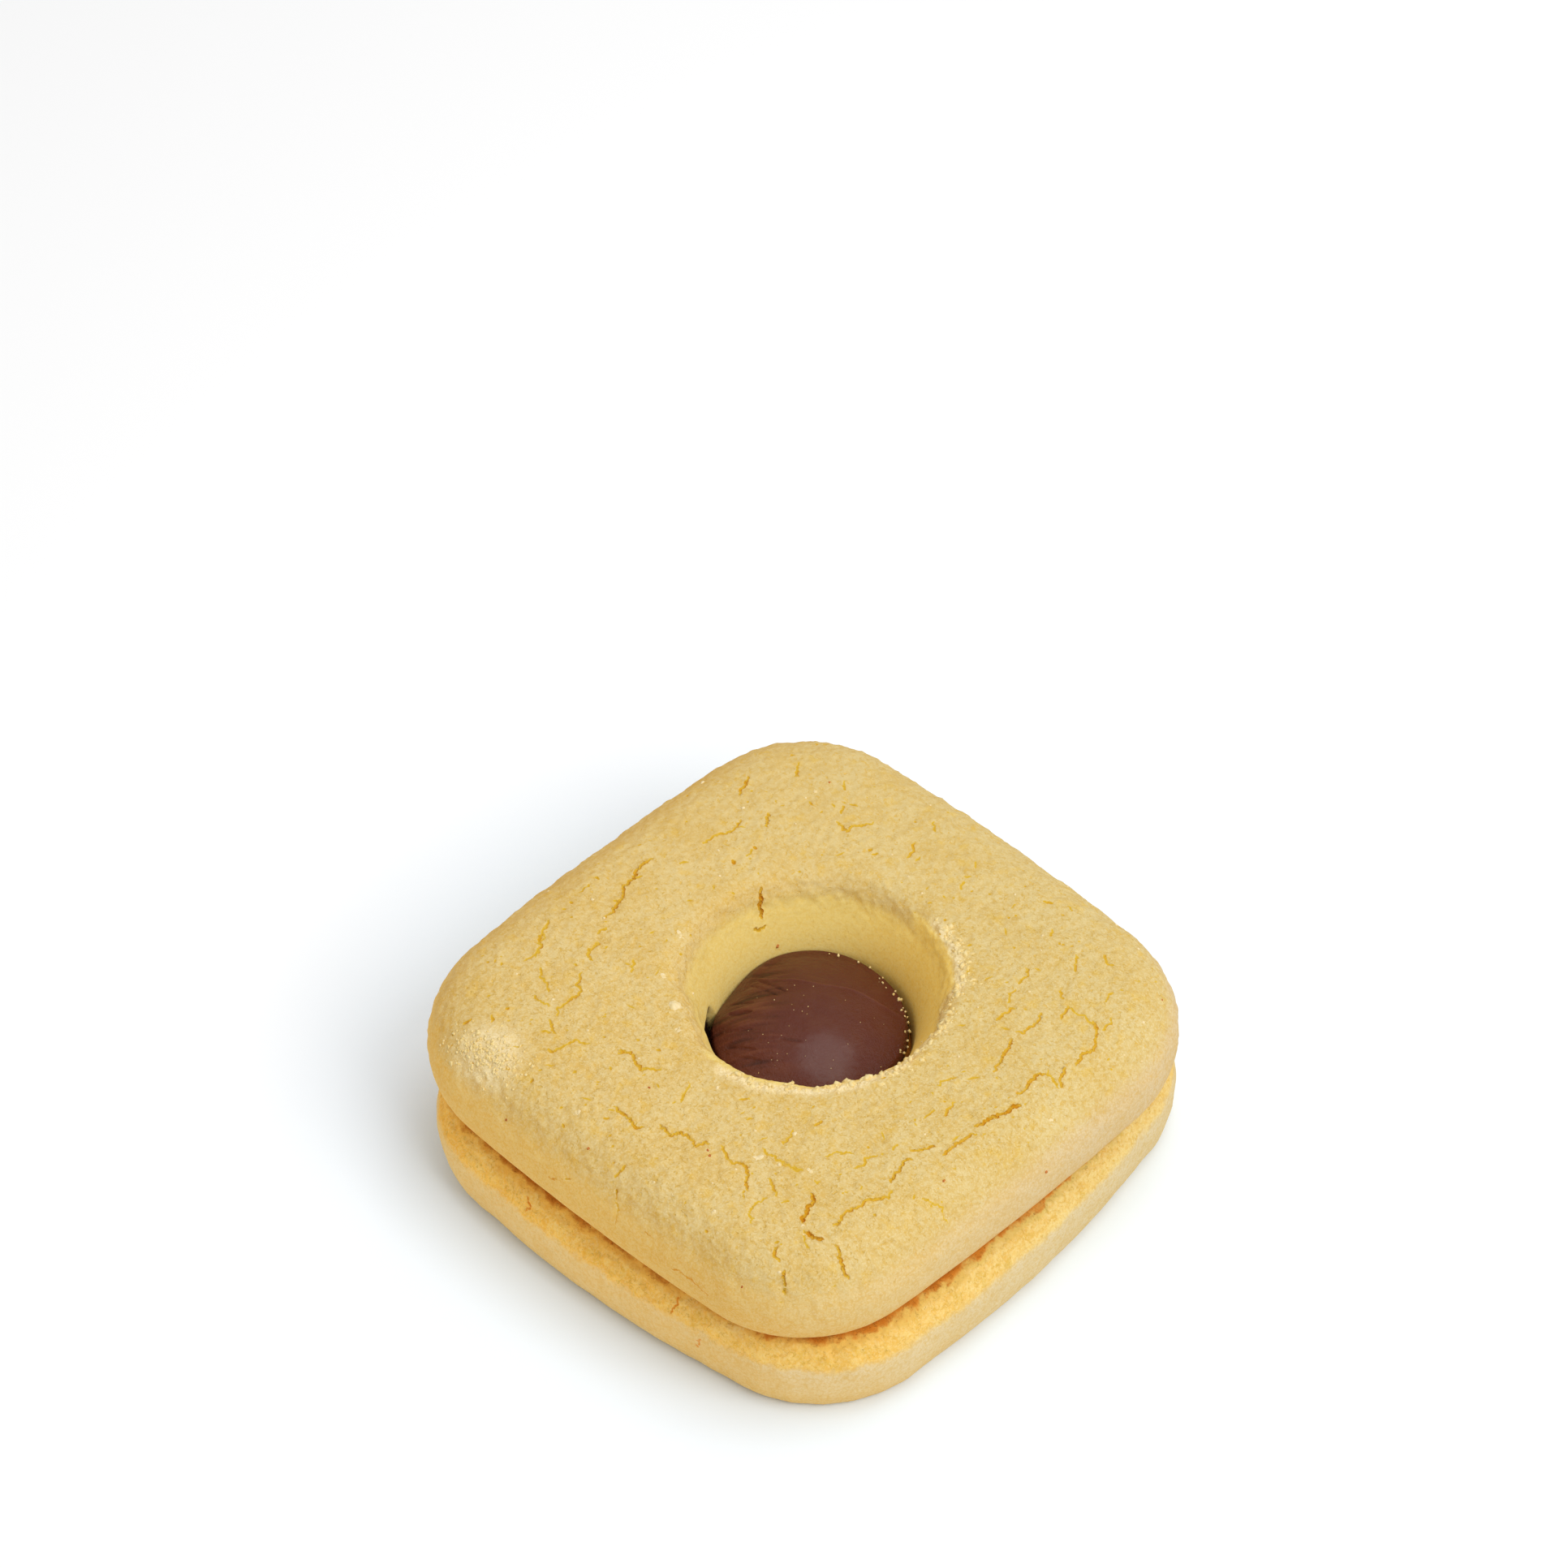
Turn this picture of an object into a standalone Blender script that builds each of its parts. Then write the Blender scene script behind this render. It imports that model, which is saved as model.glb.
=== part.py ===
"""A square filled shortcrust biscuit: two pressed biscuits, the upper one with a well of hazelnut cream.

Metres, +Z up. The origin is on the table, under the middle of the biscuit. Its sides face the X and Y axes.
"""

import math
import random

import bmesh
import bpy
import numpy as np

# Driving dimensions
SIDE = 0.0540  # mean width of the upper biscuit across its flat sides
HEIGHT = 0.0182  # table to the top face
SEAM = 0.0086  # height of the joint between the two biscuits
GAP = 0.0003  # clearance between pieces that touch
CORNER_RADIUS = 0.0127  # both biscuits, seen from above

# Upper biscuit
TOP_BELLY = 0.0125  # height at which it is widest
TOP_BOW = 0.0004  # how far a side swells in its middle
SHOULDER = 0.0058  # how far the rounded shoulder reaches in from the side
LOWER_EDGE = 0.0017  # the same for the edge at the joint
DOME = 0.00025  # rise of the top face from its shoulder to the well
LUMP = 0.00016  # height of the uneven swells on the top face

# Lower biscuit
BASE_SIDE = 0.0533
BASE_BELLY = 0.0049
BASE_BOW = 0.0010
BASE_SHOULDER = 0.0036
FOOT_EDGE = 0.0016

# Well in the upper biscuit
WELL_X = 0.0000
WELL_Y = 0.0014
RIM_RADIUS = 0.0122
WELL_RADIUS = 0.0089  # where the cream meets the wall
WELL_FOOT_RADIUS = 0.0083  # at the joint
RIM_LIP = 0.0004  # width of the rim's worn edge
RIM_CRUMBLE = 0.00028  # how far crumbs leave the rim in and out
WALL_STEP = 0.0006  # depth of the broken step in the left part of the wall
RIM_FADE = (0.8, 0.2, 0.0, 0.0, 0.0, 0.0)  # how far down the wall the crumbled rim carries

# Hazelnut cream
CREAM_LEVEL = 0.0118  # height at which it meets the wall
CREAM_RISE = 0.0025  # dome above that level
CREAM_X = -0.0005
CREAM_Y = 0.0
FOLD_DEPTH = 0.00022  # low step left where the cream stopped flowing
FOLD_WIDTH = 0.0012
FOLD_TURN = math.radians(27)  # the way the fold runs
CREAM_CLEARANCE = 0.0008  # the wall leans, so the gap at its foot needs more room here

# How each corner strays from a true square, at -X-Y, +X-Y, +X+Y and -X+Y
TOP_DRIFT = ((-0.0007, -0.0001), (-0.0011, -0.0001), (0.0009, -0.0004), (0.0009, 0.0006))
BASE_DRIFT = ((0.0008, -0.0019), (0.0013, 0.0007), (-0.0005, 0.0014), (0.0002, 0.0003))

# Fineness of the meshes
TOP_COLUMNS = 96
BASE_COLUMNS = 72
CREAM_COLUMNS = 48
FACE_STEPS = (0.14, 0.30, 0.47, 0.64, 0.80, 0.92, 1.0)  # rings from the shoulder to the rim
CREAM_STEPS = (0.93, 0.82, 0.68, 0.53, 0.37, 0.2, 0.06)  # rings from the wall to the top of the dome

# The corners of the photo's view, as directions from the well
RIGHT, FAR, LEFT, NEAR = (math.radians(a) for a in (45, 135, 225, 315))


def clear_scene():
    for item in list(bpy.data.objects):
        bpy.data.objects.remove(item, do_unlink=True)


def make_material(name, color, roughness):
    material = bpy.data.materials.new(name)
    material.use_nodes = True
    shader = material.node_tree.nodes["Principled BSDF"]
    shader.inputs["Base Color"].default_value = (*color, 1.0)
    shader.inputs["Roughness"].default_value = roughness
    shader.inputs["Metallic"].default_value = 0.0
    material.diffuse_color = (*color, 1.0)
    return material


def corners_of(side, drift):
    """The four corners of a hand-cut square."""
    signs = ((-1, -1), (1, -1), (1, 1), (-1, 1))
    half = side / 2
    return [np.array((sx * half + dx, sy * half + dy)) for (sx, sy), (dx, dy) in zip(signs, drift)]


def unit(vector):
    return vector / np.linalg.norm(vector)


def rounded_square(corners, radius, bow, arc_steps=24, side_steps=16):
    """Points and outward normals along a square with round corners and sides that swell by bow."""
    arcs = []
    for k, corner in enumerate(corners):
        back = unit(corners[k - 1] - corner)
        ahead = unit(corners[(k + 1) % 4] - corner)
        opening = math.acos(float(back @ ahead))
        center = corner + unit(back + ahead) * radius / math.sin(opening / 2)
        reach = radius / math.tan(opening / 2)
        start = unit(corner + back * reach - center)
        end = unit(corner + ahead * reach - center)
        sweep = math.acos(float(start @ end))
        normals = [
            (math.sin((1 - t) * sweep) * start + math.sin(t * sweep) * end) / math.sin(sweep)
            for t in np.linspace(0, 1, arc_steps)
        ]
        arcs.append([(center + radius * n, n) for n in normals])
    outline = []
    for k, arc in enumerate(arcs):
        outline.extend(arc)
        (start, normal), (end, _) = arc[-1], arcs[(k + 1) % 4][0]
        for t in np.linspace(0, 1, side_steps + 1)[1:-1]:
            outline.append((start + (end - start) * t + 4 * t * (1 - t) * bow * normal, normal))
    points = np.array([p for p, _ in outline])
    normals = np.array([n for _, n in outline])
    return points, normals


def spokes(outline, center, columns):
    """The outline's points and normals where evenly turned spokes from center cross it."""
    points, normals = outline
    angles = np.unwrap(np.arctan2(points[:, 1] - center[1], points[:, 0] - center[0]))
    full = 2 * math.pi
    turns = np.concatenate([angles - full, angles, angles + full])
    wanted = angles[0] + np.arange(columns) * full / columns
    crossed = [np.interp(wanted, turns, np.tile(values, 3)) for values in (*points.T, *normals.T)]
    return np.array(crossed[:2]).T, np.array(crossed[2:]).T, wanted


def arc_profile(edge, belly, height, steps):
    """(inset, z) pairs on a quarter ellipse from the widest height to an edge at another height."""
    turns = np.linspace(0, math.pi / 2, steps + 1)
    return [(edge * (1 - math.cos(a)), belly + (height - belly) * math.sin(a)) for a in turns]


def toward(angle, direction, width):
    """1 where angle points along direction, fading to 0 at width from it."""
    off = abs((angle - direction + math.pi) % (2 * math.pi) - math.pi)
    return max(0.0, math.cos(min(off / width, 1.0) * math.pi / 2)) ** 2


def swell(x, y):
    """Low uneven swells on a pressed face, from -1 to 1."""
    broad = math.sin(x * 190 + 1.3) * math.cos(y * 230 - 0.4)
    fine = math.sin(x * 520 - y * 340 + 2.1) * math.cos(y * 610 + x * 150)
    return 0.6 * broad + 0.4 * fine


def skin(name, rows, material, closed):
    """A mesh object over rows of points, joined round into a ring, or closed by a face at each end."""
    mesh = bpy.data.meshes.new(name)
    shape = bmesh.new()
    rings = [[shape.verts.new(point) for point in row] for row in rows]
    pairs = list(zip(rings, rings[1:] + rings[:1])) if closed else list(zip(rings, rings[1:]))
    for low, high in pairs:
        for k in range(len(low)):
            after = (k + 1) % len(low)
            shape.faces.new((low[k], low[after], high[after], high[k]))
    if not closed:
        shape.faces.new(rings[0][::-1])
        shape.faces.new(rings[-1])
    bmesh.ops.recalc_face_normals(shape, faces=shape.faces)
    shape.to_mesh(mesh)
    shape.free()
    mesh.shade_smooth()
    mesh.set_sharp_from_angle(angle=math.radians(50))
    mesh.materials.append(material)
    item = bpy.data.objects.new(name, mesh)
    bpy.context.scene.collection.objects.link(item)
    return item


def well_center(middle):
    return np.array((WELL_X, WELL_Y)) - middle


def ray(angle):
    return np.array((math.cos(angle), math.sin(angle)))


def build_bottom_biscuit(outline, middle):
    points, normals, _ = spokes(outline, middle, BASE_COLUMNS)
    top = SEAM - GAP / 2
    lower = arc_profile(FOOT_EDGE, BASE_BELLY, 0.0, 4)[::-1]
    upper = arc_profile(BASE_SHOULDER, BASE_BELLY, top, 6)[1:]
    rows = []
    for inset, z in lower + upper:
        ring = points - normals * inset - middle
        rows.append([(x, y, z) for x, y in ring])
    cookie = make_material("shortcrust_base", (0.80, 0.58, 0.27), 0.85)
    return skin("bottom_biscuit", rows, cookie, closed=False)


def crumbled_rim(angles):
    """How far each spoke's rim stands in and up: ragged on the right and near sides, smooth elsewhere."""
    draw = random.Random(7)
    moves = []
    for angle in angles:
        ragged = 0.35 + 0.65 * max(toward(angle, RIGHT, 1.5), toward(angle, NEAR, 1.2))
        inward = draw.uniform(-1.0, 1.0) * RIM_CRUMBLE * ragged
        upward = draw.uniform(-0.5, 0.5) * RIM_CRUMBLE * ragged
        moves.append((inward, upward))
    return moves


def wall_radii(angle):
    """(radius, z) pairs down the wall of the well, from the rim to the joint."""
    step = WALL_STEP * toward(angle, LEFT + 0.35, 0.5)
    rim_fall = 0.0004 + 0.0006 * toward(angle, FAR, 1.6)
    middle_z = (HEIGHT + CREAM_LEVEL) / 2
    middle_radius = (RIM_RADIUS + WELL_RADIUS) / 2 - 0.0002
    foot = SEAM + GAP / 2
    return [
        (RIM_RADIUS - rim_fall, HEIGHT - rim_fall),
        (middle_radius + 0.0009, middle_z + 0.0016),
        (middle_radius, middle_z),
        (WELL_RADIUS + 0.0006 + step, CREAM_LEVEL + 0.0015),
        (WELL_RADIUS + step, CREAM_LEVEL),
        (WELL_FOOT_RADIUS, foot),
    ]


def build_top_biscuit(outline, middle):
    well = well_center(middle)
    points, normals, angles = spokes((outline[0] - middle, outline[1]), well, TOP_COLUMNS)
    rim_moves = crumbled_rim(angles)
    foot = SEAM + GAP / 2
    sides = arc_profile(LOWER_EDGE, TOP_BELLY, foot, 4)[::-1]
    sides += arc_profile(SHOULDER, TOP_BELLY, HEIGHT, 8)[1:]
    rows = [[(*(p - n * inset), z) for p, n in zip(points, normals)] for inset, z in sides]

    # The top face runs from the shoulder to the rim of the well
    face_edge = points - normals * SHOULDER
    lip = RIM_RADIUS + RIM_LIP
    rim_points = [well + (lip - inward) * ray(a) for a, (inward, _) in zip(angles, rim_moves)]
    for t in FACE_STEPS:
        row = []
        for edge, rim, (_, upward) in zip(face_edge, rim_points, rim_moves):
            x, y = edge + (rim - edge) * t
            lumps = LUMP * swell(x, y) * math.sqrt(4 * t * (1 - t))
            crumb = upward if t == 1.0 else 0.0
            row.append((x, y, HEIGHT + DOME * math.sin(t * math.pi * 0.6) + lumps + crumb))
        rows.append(row)

    # The wall of the well goes down to the joint
    walls = [wall_radii(angle) for angle in angles]
    for level in range(len(walls[0])):
        row = []
        for wall, angle, (inward, upward) in zip(walls, angles, rim_moves):
            radius, z = wall[level]
            fade = RIM_FADE[level]
            x, y = well + (radius - inward * fade) * ray(angle)
            row.append((x, y, z + upward * fade))
        rows.append(row)

    # The flat underside joins the wall's foot to the lower edge again
    inner = np.array(rows[-1])
    outer = np.array(rows[0])
    for t in (0.35, 0.7):
        rows.append(list(inner + (outer - inner) * t))
    cookie = make_material("shortcrust_top", (0.84, 0.66, 0.30), 0.85)
    return skin("top_biscuit", rows, cookie, closed=True)


def build_filling(middle):
    well = well_center(middle)
    drift = np.array((CREAM_X, CREAM_Y))
    angles = np.arange(CREAM_COLUMNS) * 2 * math.pi / CREAM_COLUMNS

    # A plug fills the foot of the well, clear of its wall
    rows = []
    for radius, z in ((WELL_FOOT_RADIUS - GAP, SEAM + GAP / 2), (WELL_RADIUS - CREAM_CLEARANCE, CREAM_LEVEL)):
        rows.append([(*(well + radius * ray(a)), z) for a in angles])

    # The dome is a round cap with one low fold across it
    across = ray(FOLD_TURN + math.pi / 2)
    for t in CREAM_STEPS:
        row = []
        for a in angles:
            place = drift * (1 - t) + (WELL_RADIUS - CREAM_CLEARANCE) * t * ray(a)
            fold = FOLD_DEPTH * math.tanh(float(place @ across) / FOLD_WIDTH) * (1 - t * t)
            row.append((*(well + place), CREAM_LEVEL + CREAM_RISE * (1 - t**2.2) - fold))
        rows.append(row)
    cream = make_material("hazelnut_cream", (0.13, 0.05, 0.028), 0.42)
    return skin("filling", rows, cream, closed=False)


def main():
    clear_scene()
    top_outline = rounded_square(corners_of(SIDE, TOP_DRIFT), CORNER_RADIUS, TOP_BOW)
    base_outline = rounded_square(corners_of(BASE_SIDE, BASE_DRIFT), CORNER_RADIUS, BASE_BOW)
    every_point = np.vstack([top_outline[0], base_outline[0]])
    middle = (every_point.min(axis=0) + every_point.max(axis=0)) / 2
    build_bottom_biscuit(base_outline, middle)
    build_filling(middle)
    build_top_biscuit(top_outline, middle)


main()
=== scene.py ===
# Hazelnut filled biscuit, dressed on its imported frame
import math
import random

import bpy
import numpy as np
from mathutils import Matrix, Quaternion, Vector, noise
from mathutils.bvhtree import BVHTree
from mathutils.kdtree import KDTree


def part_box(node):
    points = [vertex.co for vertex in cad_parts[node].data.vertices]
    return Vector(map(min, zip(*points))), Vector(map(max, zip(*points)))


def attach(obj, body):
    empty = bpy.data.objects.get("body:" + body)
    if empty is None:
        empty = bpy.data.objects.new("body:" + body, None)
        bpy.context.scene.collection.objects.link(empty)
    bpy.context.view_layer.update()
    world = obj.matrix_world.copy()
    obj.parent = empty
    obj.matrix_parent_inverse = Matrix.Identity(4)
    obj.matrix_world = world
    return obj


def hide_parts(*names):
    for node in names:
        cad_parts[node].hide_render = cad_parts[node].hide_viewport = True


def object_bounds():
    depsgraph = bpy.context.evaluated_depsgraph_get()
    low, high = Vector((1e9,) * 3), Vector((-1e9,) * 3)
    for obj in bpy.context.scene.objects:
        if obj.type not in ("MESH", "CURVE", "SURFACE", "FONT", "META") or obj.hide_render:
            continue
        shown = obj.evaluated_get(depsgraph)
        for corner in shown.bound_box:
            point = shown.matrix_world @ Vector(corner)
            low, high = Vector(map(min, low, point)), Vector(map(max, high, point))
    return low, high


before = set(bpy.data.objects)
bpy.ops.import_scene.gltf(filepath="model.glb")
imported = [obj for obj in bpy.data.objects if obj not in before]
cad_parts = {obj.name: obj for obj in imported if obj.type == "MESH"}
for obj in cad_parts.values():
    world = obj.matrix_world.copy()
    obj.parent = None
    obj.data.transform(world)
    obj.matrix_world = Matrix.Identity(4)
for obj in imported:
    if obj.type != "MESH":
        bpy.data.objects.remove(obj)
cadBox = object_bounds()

mm = 0.001
wellCentre = Vector((-0.35, 1.31)) * mm
nodeOf = {"topBiscuit": "top_biscuit", "bottomBiscuit": "bottom_biscuit", "cream": "filling"}

print("camera and light")

cameraLook = {
    "place": (0.226072, -0.231683, 0.392830),
    "aim": (-0.030024, 0.028361, 0.0),
    "roll": -1.4237,
    "lens": 130.43,
    "sensor": 36.0,
    "photoSize": 1932,  # pixels across the photo, which the marks below are given in
}

lightLook = {
    "sky": 0.61,
    "key": {"turn": 3, "rise": 49, "distance": 0.55, "size": 0.34, "power": 1.42},
    "overhead": {"turn": 77, "rise": 77.5, "distance": 0.45, "size": 0.25, "power": 0.56},
}


def addCamera(look):
    place = Vector(look["place"])
    turn = (Vector(look["aim"]) - place).to_track_quat("-Z", "Y")
    turn = turn @ Quaternion((0, 0, 1), math.radians(look["roll"]))
    bpy.ops.object.camera_add(location=place, rotation=turn.to_euler())
    camera = bpy.context.active_object
    camera.name = "productCamera"
    camera.data.lens = look["lens"]
    camera.data.sensor_width = look["sensor"]
    camera.data.clip_start = 0.02
    camera.data.clip_end = 20
    bpy.context.scene.camera = camera
    return place, turn


def addSoftbox(name, look):
    turn, rise = math.radians(look["turn"]), math.radians(look["rise"])
    away = Vector((math.cos(turn) * math.cos(rise), math.sin(turn) * math.cos(rise), math.sin(rise)))
    facing = away.to_track_quat("Z", "Y")
    bpy.ops.object.light_add(type="AREA", location=away * look["distance"], rotation=facing.to_euler())
    light = bpy.context.active_object
    light.name = name
    light.data.shape = "SQUARE"
    light.data.size = look["size"]
    light.data.energy = look["power"]


cameraPlace, cameraTurn = addCamera(cameraLook)
addSoftbox("keySoftbox", lightLook["key"])
addSoftbox("overheadSoftbox", lightLook["overhead"])

sky = bpy.data.worlds.new("paleStudio")
sky.use_nodes = True
sky.node_tree.nodes["Background"].inputs["Color"].default_value = (1, 1, 1, 1)
sky.node_tree.nodes["Background"].inputs["Strength"].default_value = lightLook["sky"]
bpy.context.scene.world = sky
bpy.context.scene.view_settings.view_transform = "Standard"


# Shader nodes

class Wire:
    # one socket of a material, with maths on it
    def __init__(self, tree, socket=None):
        self.tree = tree
        self.socket = socket

    def add(self, kind, settings=None, values=None, output=0):
        node = self.tree.nodes.new(kind)
        for name, value in (settings or {}).items():
            setattr(node, name, value)
        for key, value in (values or {}).items():
            if isinstance(value, Wire):
                self.tree.links.new(value.socket, node.inputs[key])
            else:
                node.inputs[key].default_value = value
        return Wire(self.tree, node.outputs[output])

    def math(self, operation, first, second):
        return self.add("ShaderNodeMath", {"operation": operation}, {0: first, 1: second})

    def __add__(self, other):
        return self.math("ADD", self, other)

    def __radd__(self, other):
        return self.math("ADD", other, self)

    def __sub__(self, other):
        return self.math("SUBTRACT", self, other)

    def __rsub__(self, other):
        return self.math("SUBTRACT", other, self)

    def __mul__(self, other):
        return self.math("MULTIPLY", self, other)

    def __rmul__(self, other):
        return self.math("MULTIPLY", other, self)

    # 0 below low and 1 above high, with soft ends
    def rise(self, low, high):
        return self.add("ShaderNodeMapRange", {"interpolation_type": "SMOOTHSTEP"},
                        {"Value": self, "From Min": low, "From Max": high})

    def fall(self, low, high):
        return 1 - self.rise(low, high)

    def blend(self, first, second, kind="MIX"):
        return self.add("ShaderNodeMix", {"data_type": "RGBA", "blend_type": kind}, {0: self, 6: first, 7: second}, 2)


def tint(red, green, blue):
    channels = [value / 255 for value in (red, green, blue)]
    return tuple(c / 12.92 if c <= 0.04045 else ((c + 0.055) / 1.055) ** 2.4 for c in channels) + (1,)


def startMaterial(name, settings):
    material = bpy.data.materials.new(name)
    material.use_nodes = True
    shader = material.node_tree.nodes["Principled BSDF"]
    for socket, value in settings.items():
        shader.inputs[socket].default_value = value
    wire = Wire(material.node_tree)
    place = wire.add("ShaderNodeTexCoord", output=3)
    place = wire.add("ShaderNodeVectorMath", {"operation": "SCALE"}, {0: place, "Scale": 1000})  # millimetres
    return material, shader, wire, place


def noiseIn(wire, place, size, detail=3, roughness=0.55):
    return wire.add("ShaderNodeTexNoise", {},
                    {"Vector": place, "Scale": 1 / size, "Detail": detail, "Roughness": roughness})


def cellsIn(wire, place, size):
    return wire.add("ShaderNodeTexVoronoi", {"feature": "F1"}, {"Vector": place, "Scale": 1 / size})


def feed(wire, shader, socket, value):
    wire.tree.links.new(value.socket, shader.inputs[socket])


topCrust = {
    "pale": tint(209, 187, 129),
    "deep": tint(204, 176, 108),
    "yellow": tint(210, 176, 84),
    # left and right: side colours, the left warmer as painted shade away from the key light, the right paler and whiter
    # as painted sheen where it faces it
    "left": tint(231, 201, 127),
    "right": tint(208, 184, 140),
    "wall": tint(218, 192, 114),
    # painted bounce light: a brighter, warmer well wall on the right, where the wall lies in shade
    "wallRightBounceLight": tint(255, 230, 134),
    "corner": (0.96, 0.94, 0.88, 1),
    "shaded": (1.06, 0.92, 0.67, 1),
    "shadedOrange": tint(220, 152, 50),
    "shadedDark": tint(190, 104, 14),
    "deepen": (0.97, 0.89, 0.68, 1),
    # painted warm shade on the left of the face
    "leftwardShadeTint": (1.05, 1.01, 0.96, 1),
    "crevice": tint(214, 172, 74),
    # orange and dark orange: painted warm glow and painted shade inside the cracks
    "orange": tint(206, 168, 50),
    "darkOrangeCrackShade": tint(194, 134, 10),
    "seamLeft": tint(216, 166, 44),
    "seamRight": tint(216, 166, 44),
    "seamShadow": tint(216, 146, 36),
    # painted shade: near black for the deep shade in the gap beside the cream
    "gapShade": tint(52, 24, 14),
    "paleDustAndHighlight": tint(242, 224, 180),
    "bump": 0.00008,
}

baseCrust = dict(
    topCrust,
    pale=tint(227, 199, 126), deep=tint(221, 183, 98),
    # left, right and the leftward tint: painted shade and painted sheen, as in the top crust
    left=tint(234, 210, 166), right=tint(213, 193, 150),
    leftwardShadeTint=(1.2, 1.08, 0.81, 1), shaded=(1.1, 0.95, 0.62, 1),
    orange=tint(224, 146, 46), darkOrangeCrackShade=tint(206, 104, 10),
    shadedOrange=tint(228, 140, 40), shadedDark=tint(198, 96, 10),
    seamLeft=tint(244, 184, 76), seamRight=tint(210, 180, 98), seamShadow=tint(200, 114, 20),
    bump=0.00006)

# sizes of the patterns in the crust, in millimetres
crustPattern = {
    "broad": 4.5, "blotches": 1.5, "mottle": 0.45, "fine": 0.17,
    "grains": 0.48, "smallGrains": 0.26, "hairlines": 1.1, "pits": 0.4,
    "strayScale": 1.6, "strayReach": 0.7,
}


def makeShortcrust(name, look):
    material, shader, wire, place = startMaterial(name, {"Roughness": 0.88, "Specular IOR Level": 0.2})
    crack, side, seam, wall, dusty, gapShade, shaded = [
        wire.add("ShaderNodeAttribute", {"attribute_name": layer}, {}, 2)
        for layer in ("crack", "side", "seam", "wall", "dusty", "gapShade", "shaded")]
    across, away = [wire.add("ShaderNodeSeparateXYZ", {}, {0: place}, axis) for axis in (0, 1)]
    # painted light: colours change from left to right, standing in for the key light falling from the right
    rightward = (across + away).rise(-30, 40)
    nearward = (across - away).rise(-40, 10)
    corner = (across - away).rise(26, 46)

    # a wandering copy of the place bends some of the patterns
    stray = wire.add("ShaderNodeTexNoise", {}, {"Vector": place, "Scale": crustPattern["strayScale"], "Detail": 2}, 1)
    stray = wire.add("ShaderNodeVectorMath", {"operation": "SUBTRACT"}, {0: stray, 1: (0.5, 0.5, 0.5)})
    stray = wire.add("ShaderNodeVectorMath", {"operation": "SCALE"}, {0: stray, "Scale": crustPattern["strayReach"]})
    bent = wire.add("ShaderNodeVectorMath", {"operation": "ADD"}, {0: place, 1: stray})

    broad = noiseIn(wire, place, crustPattern["broad"], 3, 0.5)
    blotches = noiseIn(wire, place, crustPattern["blotches"], 3, 0.6)
    mottle = noiseIn(wire, bent, crustPattern["mottle"], 3, 0.65)
    fine = noiseIn(wire, place, crustPattern["fine"], 2, 0.7)
    grains = cellsIn(wire, bent, crustPattern["grains"])
    smallGrains = cellsIn(wire, place, crustPattern["smallGrains"])

    # hairlines where a slow noise crosses its middle, broken up by a quick one
    exposed = (1 - side * 0.6) * (1 - wall * 0.6)
    middle = noiseIn(wire, bent, crustPattern["hairlines"], 4, 0.6) - 0.5
    hairlines = wire.math("ABSOLUTE", middle, 0).fall(0.004, 0.02) * mottle.rise(0.46, 0.56) * exposed
    pits = noiseIn(wire, place, crustPattern["pits"], 2, 0.5).fall(0.27, 0.36) * exposed

    face = (broad * 0.4 + mottle * 0.6).rise(0.38, 0.62).blend(look["pale"], look["deep"])
    face = (blotches.rise(0.54, 0.7) * 0.6).blend(face, look["yellow"])
    face = (1 - rightward).blend(face, look["leftwardShadeTint"], "MULTIPLY")
    # the well wall, with painted bounce light on its right
    face = (wall * 0.85).blend(face, rightward.blend(look["wall"], look["wallRightBounceLight"]))
    sides = rightward.blend(look["left"], look["right"])
    baked = (broad * 0.35 + blotches * 0.4 + mottle * 0.25).rise(0.4, 0.62) * 0.6
    sides = baked.blend(sides, look["deepen"], "MULTIPLY")
    colour = (side + (mottle - 0.5) * 0.6).rise(0.1, 0.9).blend(face, sides)
    colour = (corner * side.rise(0, 0.4)).blend(colour, look["corner"], "MULTIPLY")
    # warmer where the crust turns away from the light
    colour = shaded.blend(colour, look["shaded"], "MULTIPLY")

    # painted shade and highlight: golden, darker hollows between the grains and paler grain tops, following the relief
    strength = (0.35 + nearward * 0.4) * (1 - wall * 0.1)
    valleyShade = (grains * 0.4 + smallGrains * 0.55 + (0.5 - fine) * 0.7).rise(0.4, 0.7)
    colour = (valleyShade * strength).blend(colour, look["deepen"], "MULTIPLY")
    colour = ((1 - valleyShade) * fine.rise(0.45, 0.65) * strength * 0.25).blend(colour, look["paleDustAndHighlight"])
    # painted shade: hairlines and pits are darker in the crevice colour
    colour = (hairlines * 0.75).blend(colour, look["crevice"])
    colour = (pits * 0.7).blend(colour, look["crevice"])
    dust = dusty * (1 - shaded * 0.8) * (0.25 + mottle.rise(0.35, 0.6) * 0.4 + fine.rise(0.4, 0.6) * 0.35)
    colour = dust.blend(colour, look["paleDustAndHighlight"])

    # the orange edge at the joint breaks up into grains; it is partly baked colour and partly painted warm bounce
    # light, with a painted shadow line where the halves meet
    seamTone = seam + (blotches * 0.3 + mottle * 0.5 + fine * 0.2 - 0.5) * 1.8 * (seam * (1 - seam) * 4)
    colour = seamTone.rise(0.0, 0.6).blend(colour, rightward.blend(look["seamLeft"], look["seamRight"]))
    colour = seamTone.rise(0.62, 1.1).blend(colour, look["seamShadow"])
    # painted shade and glow: cracks and marks are painted orange, darker at the core of wide, deep cracks
    colour = crack.rise(0.1, 0.6).blend(colour, shaded.blend(look["orange"], look["shadedOrange"]))
    colour = crack.rise(0.55, 1.0).blend(colour, shaded.blend(look["darkOrangeCrackShade"], look["shadedDark"]))
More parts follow.
